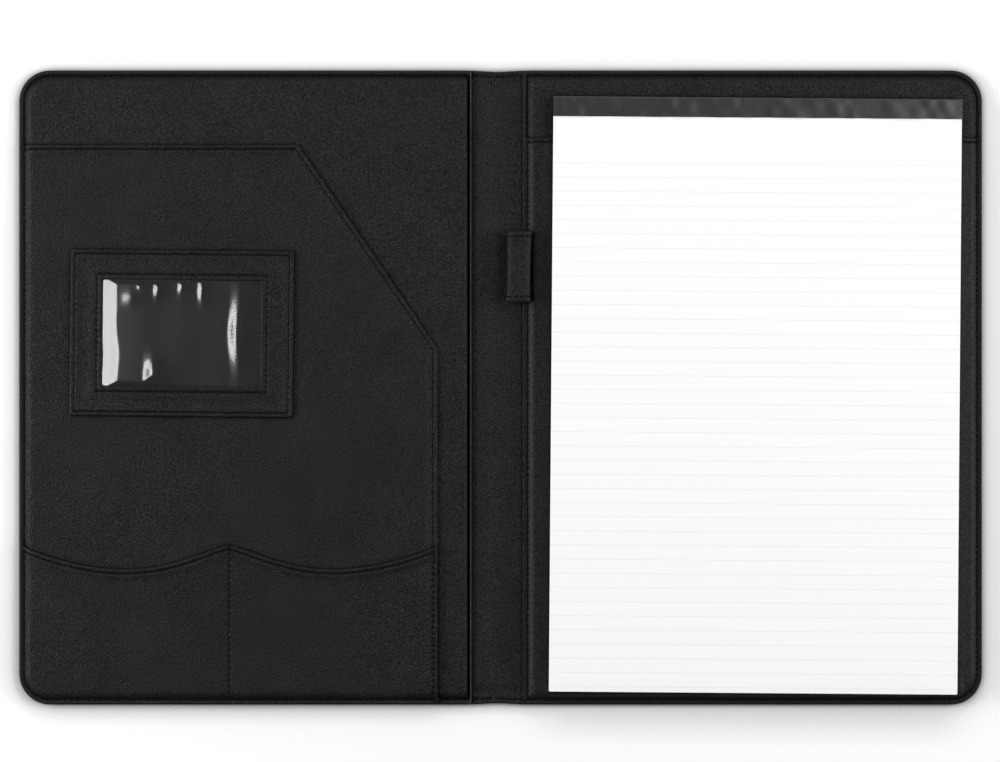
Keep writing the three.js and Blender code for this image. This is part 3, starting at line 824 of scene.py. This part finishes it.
film_u = np.linspace(-film_half[0], film_half[0], film_columns)
film_v = np.linspace(-film_half[1], film_half[1], film_rows)
film_grid = np.array([(u, v) for v in film_v for u in film_u])
film_lift = film_height(*film_grid.T)
film_low = np.column_stack([turned(film_grid), window_base + film_over_base + film_lift])
film_high = film_low + (0, 0, film_thickness)
film_faces = []
film_count = len(film_grid)
for r in range(film_rows - 1):
    for c in range(film_columns - 1):
        a = r * film_columns + c
        b, d, e = a + 1, a + film_columns, a + film_columns + 1
        film_faces += [(a, d, e, b), (film_count + a, film_count + b, film_count + e, film_count + d)]
around = [*range(film_columns), *range(2 * film_columns - 1, film_count, film_columns)]
around += [*range(film_count - 2, film_count - film_columns - 1, -1)]
around += [*range(film_count - 2 * film_columns, 0, -film_columns)]
for a, b in zip(around, around[1:] + around[:1]):
    film_faces.append((a, b, film_count + b, film_count + a))
clear_film, film_tree, plain_shader = new_material("clear film")
film_tree.nodes.remove(plain_shader)
film_clear = node(film_tree, "ShaderNodeBsdfTransparent", Color=(0.97, 0.975, 0.98, 1))
film_gloss = node(film_tree, "ShaderNodeBsdfAnisotropic", Roughness=0.21)
film_fresnel = node(film_tree, "ShaderNodeFresnel", IOR=1.95)
film_mix = node(film_tree, "ShaderNodeMixShader")
film_link = film_tree.links.new
film_link(film_fresnel.outputs[0], film_mix.inputs[0])
film_link(film_clear.outputs[0], film_mix.inputs[1])
film_link(film_gloss.outputs[0], film_mix.inputs[2])
film_link(film_mix.outputs[0], film_tree.nodes["Material Output"].inputs["Surface"])
window_film = solid_mesh("card_window_clear_film", np.concatenate([film_low, film_high]), film_faces,
                         clear_film)
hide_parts("card_window_film")
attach(window_film, "front_cover")

# Pad pocket: a panel of smooth leatherette over the back lining, hemmed along its head. It takes the
# pad's card back, and leaves a band of the grained lining bare above it.
smooth = leather("black smooth leatherette", dark=(0.006, 0.006, 0.0063), light=(0.009, 0.009, 0.0095),
                 roughness=0.52, pebbles=1500, bump=0.12, specular=0.15)
pad_panel_head_y = side("pad_pocket_panel", 1, 1)
pad_panel_free_x = side("pad_pocket_panel", 1, 0)
pad_panel_spine_x = side("pad_pocket_panel", 0, 0)
card_low, card_high = np.array(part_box("pad_backing_card")) / MM
card_rise = eased((-3.4, 0.0), (-2.0, 0.15), (-0.6, 1.1), (0.2, 1.28), (2.0, 1.3))


def over_card(x, y):
    """How far the card back lifts the panel: it falls to the lining round the card's edge."""
    inside = np.minimum.reduce([x - card_low[0], card_high[0] - x, y - card_low[1]])
    return card_rise(inside)


pad_panel_ground = height_on([back_lining_tree])
hem_overrun = 9
pad_panel_hem = [(pad_panel_free_x + hem_overrun, pad_panel_head_y),
                 (pad_panel_spine_x - hem_overrun, pad_panel_head_y)]
pad_panel_away = path_distance(pad_panel_hem)
bridged_z = 2.8
card_hem_share = 0.85


def pad_panel_under(x, y):
    """The panel lies on the lining but bridges the groove of its seam, and rises over the card."""
    return np.maximum(pad_panel_ground(x, y), bridged_z) + layer_gap + over_card(x, y)


def pad_panel_over(x, y):
    hem = card_hem_share * hem_lift(pad_panel_away(x, y))
    return pad_panel_under(x, y) + hem + slack(x, y, 5.2, 0.1)


pad_panel_outline = [
    (pad_panel_spine_x, foot_y + border, 0), (pad_panel_free_x, foot_y + border, corner_inner),
    (pad_panel_free_x, pad_panel_head_y, 0), (pad_panel_spine_x, pad_panel_head_y, 0)]
pad_panel, pad_panel_tree = sheet(
    "pad_pocket_leather", pad_panel_outline, panel_insets, all_round(4), pad_panel_under, pad_panel_over,
    smooth, spacing=5.0)
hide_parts("pad_pocket_panel")
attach(pad_panel, "back_cover")

# Pen loop: a strip of leatherette folded into a flattened tube, hemmed at both mouths. Its joined ends
# go down into the seam between the spine and the back cover.
loop_low, loop_high = np.array(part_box("pen_loop")) / MM
loop_stem = 3.2
loop_bottom = loop_low[2] + loop_stem
loop_top = loop_high[2]
loop_left, loop_right = loop_low[0], loop_high[0]
loop_wall = 1.0
loop_lean = 1.4
loop_hem = 2.6
loop_sides = 40
# The lower the power, the squarer the tube's section at its sides and at its top.
side_power, top_power = 0.55, 0.75
loop_tilt = 0.35


def loop_section(y, grow):
    """The flattened tube's outline at one place along it. Its foot end leans towards the spine."""
    along = (y - loop_low[1]) / (loop_high[1] - loop_low[1])
    shift = loop_lean * (along - 1) * 0.5
    half_x, half_z = (loop_right - loop_left) / 2 + grow, (loop_top - loop_bottom) / 2 + grow
    angle = np.linspace(0, 2 * math.pi, loop_sides, endpoint=False)
    c, s = np.cos(angle), np.sin(angle)
    x = (loop_left + loop_right) / 2 + shift + half_x * np.sign(c) * np.abs(c) ** side_power
    z = (loop_top + loop_bottom) / 2 + half_z * np.sign(s) * np.abs(s) ** top_power
    z += loop_tilt * c * (1 - along) * (s > 0)
    return np.column_stack([x, np.full(loop_sides, y), z])


loop_profile = eased((0, -0.22), (0.25, 0.0), (0.9, 0.06), (2.1, -0.02), (2.6, -0.24), (3.1, -0.06),
                     (4.4, -0.1), (6.0, -0.3), (12.0, -0.36))
loop_stops = [0, 0.12, 0.3, 0.9, 1.7, 2.2, 2.6, 3.0, 3.6, 4.6, 6.0, 9.0, 13.0]
loop_ys = [loop_low[1] + d for d in loop_stops] + [loop_high[1] - d for d in reversed(loop_stops)]
loop_rings = [loop_section(y, float(loop_profile(min(y - loop_low[1], loop_high[1] - y)))) for y in loop_ys]
loop_rings += [loop_section(y, -loop_wall) for y in reversed(loop_ys)]
loop_points = np.concatenate(loop_rings)
loop_faces = ring_walls(len(loop_rings), loop_sides, closed=True)
loop_tree = BVHTree.FromPolygons(loop_points.tolist(), loop_faces)
pen_loop = solid_mesh("pen_loop_leather", loop_points, loop_faces, grained)
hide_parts("pen_loop")
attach(pen_loop, "back_cover")
# The joined ends: width, gap to the lining's fold, inset at both mouths, foot, and reach into the tube.
tail_width, tail_gap, tail_inset, tail_foot_z, tail_overlap = 2.6, 0.3, 0.4, 2.2, 0.5
tail_soft_edge = 0.4
tail_end_x = back_panel_x - tail_gap
tail_x = (tail_end_x - tail_width, tail_end_x)
tail_y = (loop_low[1] + tail_inset, loop_high[1] - tail_inset)
tail_z = (tail_foot_z, loop_bottom + tail_overlap)
tail_points = [(x, y, z) for x in tail_x for y in tail_y for z in tail_z]
tail_faces = [(0, 1, 3, 2), (4, 6, 7, 5), (0, 4, 5, 1), (2, 3, 7, 6), (0, 2, 6, 4), (1, 5, 7, 3)]
loop_tail = solid_mesh("pen_loop_joined_ends", tail_points, tail_faces, grained)
soften = loop_tail.modifiers.new("soft edge", "BEVEL")
soften.width = tail_soft_edge * MM
soften.segments = 3
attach(loop_tail, "back_cover")

# Writing pad: a stack of white sheets, faintly ruled, a hair out of square with the cover. Its edges
# show the sheets, which are not quite in line.
pad_turn = math.radians(-0.45)
sheet_width, pad_length = 210.0, 306.0
pad_low, pad_high = np.array(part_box("pad_sheets")) / MM
pad_x, pad_y = (pad_low[:2] + pad_high[:2]) / 2
stack_bottom, stack_top = pad_low[2], pad_high[2]
rule_pitch = 7.28
rule_first = 24.0
rule_width = 0.32
binding_band = 10.0


def on_pad(x, y):
    """Points about the pad's middle, put in their place on the cover."""
    c, s = math.cos(pad_turn), math.sin(pad_turn)
    return np.column_stack([pad_x + c * x - s * y, pad_y + s * x + c * y])


drift_seed = 7
random = np.random.default_rng(drift_seed)
leaf_levels = 15
leaf_drift = 0.07
leaf_round = 0.6
top_leaf_inset = 0.12
upright_share = 0.92
leaf_rise = (stack_top - stack_bottom) / (leaf_levels - 1)
pad_rings = []
for leaf in range(leaf_levels):
    z = stack_bottom + (stack_top - stack_bottom) * leaf / (leaf_levels - 1)
    drift = random.normal(0, leaf_drift, 2)
    inset = top_leaf_inset if leaf == leaf_levels - 1 else 0.0
    ring = square_ring(sheet_width / 2, pad_length / 2, leaf_round, (24, 34, 24, 34), inset) + drift
    pad_rings.append(np.column_stack([on_pad(*ring.T), np.full(len(ring), z)]))
    if leaf < leaf_levels - 1:
        step_z = z + leaf_rise * upright_share
        pad_rings.append(np.column_stack([on_pad(*ring.T), np.full(len(ring), step_z)]))
pad_size = len(pad_rings[0])
pad_fill_spacing = 14.0
pad_fill, pad_caps = filled(pad_rings[-1][:, :2], pad_fill_spacing)
pad_points = np.concatenate([*pad_rings, np.column_stack([pad_fill, np.full(len(pad_fill), stack_top)])])
last_ring = (len(pad_rings) - 1) * pad_size
pad_faces = [tuple(reversed(range(pad_size))), *ring_walls(len(pad_rings), pad_size)]
pad_faces += [[last_ring + i for i in cap] for cap in pad_caps]

paper, paper_tree, paper_shader = new_material("ruled paper")
paper_shader.inputs["Roughness"].default_value = 0.75
paper_place = node(paper_tree, "ShaderNodeTexCoord")
paper_turn = node(paper_tree, "ShaderNodeMapping", vector_type="TEXTURE",
                  Location=(pad_x * MM, pad_y * MM, 0), Rotation=(0, 0, pad_turn))
paper_axes = node(paper_tree, "ShaderNodeSeparateXYZ")
paper_link = paper_tree.links.new
paper_link(paper_place.outputs["Object"], paper_turn.inputs["Vector"])
paper_link(paper_turn.outputs[0], paper_axes.inputs[0])
first_rule_y = pad_length / 2 - binding_band - rule_first
rule_step = node(paper_tree, "ShaderNodeMath", operation="MULTIPLY_ADD")
rule_step.inputs[1].default_value = 1 / (rule_pitch * MM)
rule_step.inputs[2].default_value = 0.5 - first_rule_y / rule_pitch
rule_phase = node(paper_tree, "ShaderNodeMath", operation="FLOORED_MODULO")
rule_phase.inputs[1].default_value = 1.0
rule_near = node(paper_tree, "ShaderNodeMath", operation="COMPARE")
rule_near.inputs[1].default_value = 0.5
rule_near.inputs[2].default_value = rule_width / rule_pitch / 2
rule_below = node(paper_tree, "ShaderNodeMath", operation="LESS_THAN")
rule_below.inputs[1].default_value = (first_rule_y + 1) * MM
facing_up = 0.7
rule_up = node(paper_tree, "ShaderNodeNewGeometry")
rule_face = node(paper_tree, "ShaderNodeSeparateXYZ")
rule_top = node(paper_tree, "ShaderNodeMath", operation="GREATER_THAN")
rule_top.inputs[1].default_value = facing_up
rule_mask = node(paper_tree, "ShaderNodeMath", operation="MULTIPLY")
rule_mask_top = node(paper_tree, "ShaderNodeMath", operation="MULTIPLY")
paper_tint = node(paper_tree, "ShaderNodeMix", data_type="RGBA",
                  A=(0.8, 0.8, 0.8, 1), B=(0.69, 0.705, 0.725, 1))
paper_link(paper_axes.outputs["Y"], rule_step.inputs[0])
paper_link(rule_step.outputs[0], rule_phase.inputs[0])
paper_link(rule_phase.outputs[0], rule_near.inputs[0])
paper_link(paper_axes.outputs["Y"], rule_below.inputs[0])
paper_link(rule_near.outputs[0], rule_mask.inputs[0])
paper_link(rule_below.outputs[0], rule_mask.inputs[1])
paper_link(rule_up.outputs["True Normal"], rule_face.inputs[0])
paper_link(rule_face.outputs["Z"], rule_top.inputs[0])
paper_link(rule_mask.outputs[0], rule_mask_top.inputs[0])
paper_link(rule_top.outputs[0], rule_mask_top.inputs[1])
paper_link(rule_mask_top.outputs[0], paper_tint.inputs["Factor"])
paper_link(paper_tint.outputs["Result"], paper_shader.inputs["Base Color"])
pad_sheets = solid_mesh("pad_sheet_stack", pad_points, pad_faces, paper, 30)
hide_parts("pad_sheets")
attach(pad_sheets, "back_cover")

# Binding tape: glossy black tape folded over the pad's head, from the top sheet round to the card back.
# It is drawn tight by hand, so it wrinkles along its length.
tape_low, tape_high = np.array(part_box("pad_binding_tape")) / MM
tape_thickness = 0.22
tape_columns = 170
tape_wrinkle = 0.36
deepest_wrinkle = -0.1
ragged_edge = 0.06
tape_bend = 0.9
bend_steps, band_steps = 6, 7
tape_slack = 0.3
tape_top_z, tape_foot_z = tape_high[2] - 0.15, tape_low[2] + 0.25
head_end = pad_length / 2 + tape_slack
tape_edge = pad_length / 2 - binding_band


def tape_profile(out):
    """The tape's section from its edge on the sheets, over the head, to its edge on the card."""
    top, bottom = tape_top_z + out, tape_foot_z - out
    end = head_end + out
    front = [(tape_edge, top)]
    front += [(pad_length / 2 - binding_band * (1 - k / band_steps), top) for k in range(1, band_steps)]
    turn = np.linspace(0, math.pi / 2, bend_steps)
    corner = [(end - tape_bend + tape_bend * math.sin(a), top - tape_bend + tape_bend * math.cos(a))
              for a in turn]
    under = [(end - tape_bend + tape_bend * math.cos(a), bottom + tape_bend - tape_bend * math.sin(a))
             for a in turn]
    return np.array(front + corner + under + [(tape_edge, bottom)])


def wrinkles(x, y):
    """How far the tape stands up from the sheets: fine creases over slow bulges."""
    fine = np.sin(x / 1.9 + 1.3 * np.sin(x / 7.3)) * np.sin(y / 2.7 + x / 11)
    slow = np.sin(x / 6.1 + 2) * np.sin(x / 17.0 + y / 5)
    return tape_wrinkle * (0.5 * fine + 0.8 * slow)


tape_overhang = 0.25
tape_across = np.linspace(-sheet_width / 2 - tape_overhang, sheet_width / 2 + tape_overhang, tape_columns)
tape_section = [*tape_profile(0.0), *tape_profile(-tape_thickness)[::-1]]
tape_points = []
for x in tape_across:
    ragged = ragged_edge * math.sin(x / 3.7) * math.sin(x / 9.1 + 1)
    for y, z in tape_section:
        reach = ragged if y == tape_edge else 0.0
        place = on_pad(np.array([x]), np.array([y + reach]))[0]
        lift = max(wrinkles(x, y), deepest_wrinkle) if z > (stack_bottom + stack_top) / 2 else 0.0
        tape_points.append((place[0], place[1], z + lift))
tape_ring = len(tape_section)
last_section = range(len(tape_points) - tape_ring, len(tape_points))
tape_ends = [tuple(range(tape_ring)), tuple(reversed(last_section))]
tape_faces = tape_ends + ring_walls(tape_columns, tape_ring)
tape, tape_tree, tape_shader = new_material("glossy black tape")
tape_shader.inputs["Base Color"].default_value = (0.015, 0.015, 0.016, 1)
tape_shader.inputs["Roughness"].default_value = 0.4
tape_place = node(tape_tree, "ShaderNodeTexCoord")
tape_cloth = node(tape_tree, "ShaderNodeTexNoise", Scale=350.0, Detail=4.0)
tape_relief = node(tape_tree, "ShaderNodeBump", Strength=0.35, Distance=0.0003)
tape_link = tape_tree.links.new
tape_link(tape_place.outputs["Object"], tape_cloth.inputs["Vector"])
tape_link(tape_cloth.outputs[0], tape_relief.inputs["Height"])
tape_link(tape_relief.outputs[0], tape_shader.inputs["Normal"])
binding = solid_mesh("pad_binding_tape_folded", tape_points, tape_faces, tape, 60)
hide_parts("pad_binding_tape")
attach(binding, "back_cover")

# Stitches: black lockstitch, about eight to the inch, along the perimeter, the folds, the hems, the
# pocket divider, the card window and the pen loop. Each stitch dips into the leather at both ends.
stitch_pitch = 3.0
stitch_length = 2.4
stitch_width = 0.95
stitch_slant = math.radians(5)
thread_rise = 0.1
underside_rise = 0.05


def stitch_nodes():
    """A node tree that lays a slanted stitch at every pitch along a path. Gives its input names too."""
    tree = bpy.data.node_groups.new("lockstitch along a path", "GeometryNodeTree")
    face = tree.interface
    face.new_socket(name="Path", in_out="INPUT", socket_type="NodeSocketGeometry")
    sockets = {}
    for name in ("Pitch", "Stitch length", "Thread width", "Slant"):
        sockets[name] = face.new_socket(name=name, in_out="INPUT", socket_type="NodeSocketFloat").identifier
    sockets["Thread"] = face.new_socket(
        name="Thread", in_out="INPUT", socket_type="NodeSocketMaterial").identifier
    face.new_socket(name="Stitches", in_out="OUTPUT", socket_type="NodeSocketGeometry")
    into, out = tree.nodes.new("NodeGroupInput"), tree.nodes.new("NodeGroupOutput")
    curve = tree.nodes.new("GeometryNodeMeshToCurve")
    even = node(tree, "GeometryNodeResampleCurve", mode="LENGTH")
    ball = node(tree, "GeometryNodeMeshUVSphere", Segments=8, Rings=5, Radius=0.5)
    size = tree.nodes.new("ShaderNodeCombineXYZ")
    shape = tree.nodes.new("GeometryNodeTransform")
    tangent = tree.nodes.new("GeometryNodeInputTangent")
    align = node(tree, "FunctionNodeAlignRotationToVector", axis="X")
    slant = tree.nodes.new("ShaderNodeCombineXYZ")
    tilt = node(tree, "FunctionNodeRotateRotation", rotation_space="LOCAL")
    place = tree.nodes.new("GeometryNodeInstanceOnPoints")
    real = tree.nodes.new("GeometryNodeRealizeInstances")
    finish = tree.nodes.new("GeometryNodeSetMaterial")
    link = tree.links.new
    link(into.outputs["Path"], curve.inputs[0])
    link(curve.outputs[0], even.inputs["Curve"])
    link(into.outputs["Pitch"], even.inputs["Length"])
    link(into.outputs["Stitch length"], size.inputs["X"])
    link(into.outputs["Thread width"], size.inputs["Y"])
    link(into.outputs["Thread width"], size.inputs["Z"])
    link(ball.outputs["Mesh"], shape.inputs["Geometry"])
    link(size.outputs[0], shape.inputs["Scale"])
    link(tangent.outputs[0], align.inputs["Vector"])
    link(into.outputs["Slant"], slant.inputs["Z"])
    link(align.outputs[0], tilt.inputs["Rotation"])
    link(slant.outputs[0], tilt.inputs["Rotate By"])
    link(even.outputs[0], place.inputs["Points"])
    link(shape.outputs[0], place.inputs["Instance"])
    link(tilt.outputs[0], place.inputs["Rotation"])
    link(place.outputs[0], real.inputs[0])
    link(real.outputs[0], finish.inputs["Geometry"])
    link(into.outputs["Thread"], finish.inputs["Material"])
    link(finish.outputs[0], out.inputs[0])
    return tree, sockets


stitch_tree, stitch_sockets = stitch_nodes()
thread, thread_tree, thread_shader = new_material("black thread")
thread_shader.inputs["Base Color"].default_value = (0.0015, 0.0015, 0.0016, 1)
thread_shader.inputs["Specular IOR Level"].default_value = 0.12
thread_place = node(thread_tree, "ShaderNodeTexCoord")
thread_twist = node(thread_tree, "ShaderNodeTexWave", Scale=900.0, Distortion=1.0)
thread_gloss = node(thread_tree, "ShaderNodeMapRange", To_Min=0.5, To_Max=0.75)
thread_link = thread_tree.links.new
thread_link(thread_place.outputs["Object"], thread_twist.inputs["Vector"])
thread_link(thread_twist.outputs["Fac"], thread_gloss.inputs["Value"])
thread_link(thread_gloss.outputs[0], thread_shader.inputs["Roughness"])


def along(path, step=1.0):
    """Points at an even step along a path of corners."""
    path = np.array(path, float)
    lengths = np.hypot(*np.diff(path, axis=0).T)
    total = np.concatenate([[0], np.cumsum(lengths)])
    at = np.linspace(0, total[-1], max(2, round(total[-1] / step) + 1))
    return np.column_stack([np.interp(at, total, path[:, k]) for k in range(2)])


def sew(name, rows, rise=thread_rise):
    """Stitches along rows of (path, height function), as one plain mesh. They stand up by the rise."""
    points, edges = [], []
    for path, height in rows:
        plan = along(path)
        start = len(points)
        levels = height(plan[:, 0], plan[:, 1])
        points += [(x, y, z) for (x, y), z in zip(plan, levels)]
        edges += [(i, i + 1) for i in range(start, len(points) - 1)]
    placed = ends_drawn_in(points)
    placed[:, 2] += rise
    seam_mesh = bpy.data.meshes.new(name + "_path")
    seam_mesh.from_pydata((placed * MM).tolist(), edges, [])
    seam = bpy.data.objects.new(name + "_path", seam_mesh)
    scene.collection.objects.link(seam)
    rows_of = seam.modifiers.new("stitches", "NODES")
    rows_of.node_group = stitch_tree
    for key, value in (("Pitch", stitch_pitch * MM), ("Stitch length", stitch_length * MM),
                       ("Thread width", stitch_width * MM), ("Slant", stitch_slant)):
        rows_of[stitch_sockets[key]] = value
    rows_of[stitch_sockets["Thread"]] = thread
    ready = seam.evaluated_get(bpy.context.evaluated_depsgraph_get())
    mesh = bpy.data.meshes.new_from_object(ready)
    mesh.name = name
    bpy.data.objects.remove(seam)
    obj = bpy.data.objects.new(name, mesh)
    scene.collection.objects.link(obj)
    return obj


def perimeter(meeting_x, way, inset):
    """The perimeter seam from a place in the spine round one cover, to the front if way is -1."""
    corners = [(front_free_x, foot_y, corner_radius), (back_free_x, foot_y, corner_radius),
               (back_free_x, head_y, corner_radius), (front_free_x, head_y, corner_radius)]
    ring = plan_ring(corners, [inset] * 4, (300, 200, 300, 200))
    part = ring[(ring[:, 0] - meeting_x) * way >= 0]
    upper, lower = part[part[:, 1] > 0], part[part[:, 1] <= 0]
    upper = upper[np.argsort(np.arctan2(upper[:, 1], (upper[:, 0] - meeting_x) * way))[::-1]]
    lower = lower[np.argsort(np.arctan2(-lower[:, 1], (lower[:, 0] - meeting_x) * way))]
    return np.concatenate([upper, lower])


def level(value):
    """The same height everywhere."""
    return lambda x, y: np.full(np.shape(x), value)


front_surface = height_on([front_lining_tree, document_pocket_tree, card_pockets_tree, window_tree,
                           spine_front_tree])
back_surface = height_on([back_lining_tree, pad_panel_tree, spine_back_tree])
under_rim = level(0.1)
front_seam = perimeter(spine_meeting_x - stitch_pitch / 2, -1, rim_stitch)
back_seam = perimeter(spine_meeting_x + stitch_pitch / 2, 1, rim_stitch)
bend_front(sew("perimeter_stitches_front", [(front_seam, front_surface)]))
bend_back(sew("perimeter_stitches_back", [(back_seam, back_surface)]))
bend_front(sew("underside_stitches_front", [(front_seam, under_rim)], rise=underside_rise))
bend_back(sew("underside_stitches_back", [(back_seam, under_rim)], rise=underside_rise))


def drawn_in(path, distance):
    """A path moved to its left side, for a row of stitches inside an edge."""
    path = np.array(path, float)
    runs = np.diff(path, axis=0)
    runs /= np.hypot(*runs.T)[:, None]
    into, out = np.vstack([runs[:1], runs]), np.vstack([runs, runs[-1:]])
    mitre = into + out
    mitre /= np.hypot(*mitre.T)[:, None]
    reach = distance / (mitre * into).sum(1)
    return path + np.column_stack([-mitre[:, 1], mitre[:, 0]]) * reach[:, None]


# Where the rows stop: short of the rim's seam, of the free side, of the foot and head, and of the point.
fold_end = rim_stitch + 1.5
free_end, side_end, point_end = 3, 4, 2.5
divider_lean = 0.3
pocket_row = drawn_in(pocket_free, hem_stitch)
pocket_row[0][1] = card_rim_y
pocket_row[-1][0] = front_free_x + free_end
card_row = drawn_in(card_free, hem_stitch)[1:-1]
side_row_x = card_spine_x - hem_stitch
side_row = [(side_row_x, foot_y + side_end), (side_row_x, card_head_y - side_end)]
window_rows = []
for half_x, half_y in ((window_size[0] / 2 - window_hem_stitch, window_size[1] / 2 - window_hem_stitch),
                       (opening_size[0] / 2 + opening_stitch, opening_size[1] / 2 + opening_stitch)):
    square = np.array([(-half_x, -half_y), (half_x, -half_y), (half_x, half_y), (-half_x, half_y),
                       (-half_x, -half_y + 1)])
    window_rows.append((turned(square), front_surface))
front_fold_row_x = front_panel_x - front_fold_stitch
front_rows = [
    ([(front_fold_row_x, foot_y + fold_end), (front_fold_row_x, head_y - fold_end)], front_surface),
    (pocket_row, front_surface),
    (card_row, front_surface),
    (side_row, front_surface),
    ([(divider_x, foot_y + fold_end), (divider_x + divider_lean, card_head_y - point_end)], front_surface),
    *window_rows,
]
front_stitches = sew("front_cover_stitches", front_rows)
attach(front_stitches, "front_cover")

loop_surface = height_on([loop_tree])
loop_left_end, loop_right_end = 1.6, 2.2
loop_rows = []
for y in (loop_low[1] + loop_hem, loop_high[1] - loop_hem):
    loop_rows.append(([(loop_left + loop_left_end, y), (loop_right - loop_right_end, y)], loop_surface))
back_fold_row_x = back_panel_x + back_fold_stitch
hem_row_y = pad_panel_head_y - hem_stitch
hem_spine_end, hem_free_end = 4, 3.5
back_rows = [
    ([(back_fold_row_x, foot_y + fold_end), (back_fold_row_x, loop_low[1] - 1)], back_surface),
    ([(back_fold_row_x, loop_high[1] + 1), (back_fold_row_x, head_y - fold_end)], back_surface),
    ([(back_panel_x + hem_spine_end, hem_row_y), (back_free_x - hem_free_end, hem_row_y)], back_surface),
    *loop_rows,
]
back_stitches = sew("back_cover_stitches", back_rows)
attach(back_stitches, "back_cover")
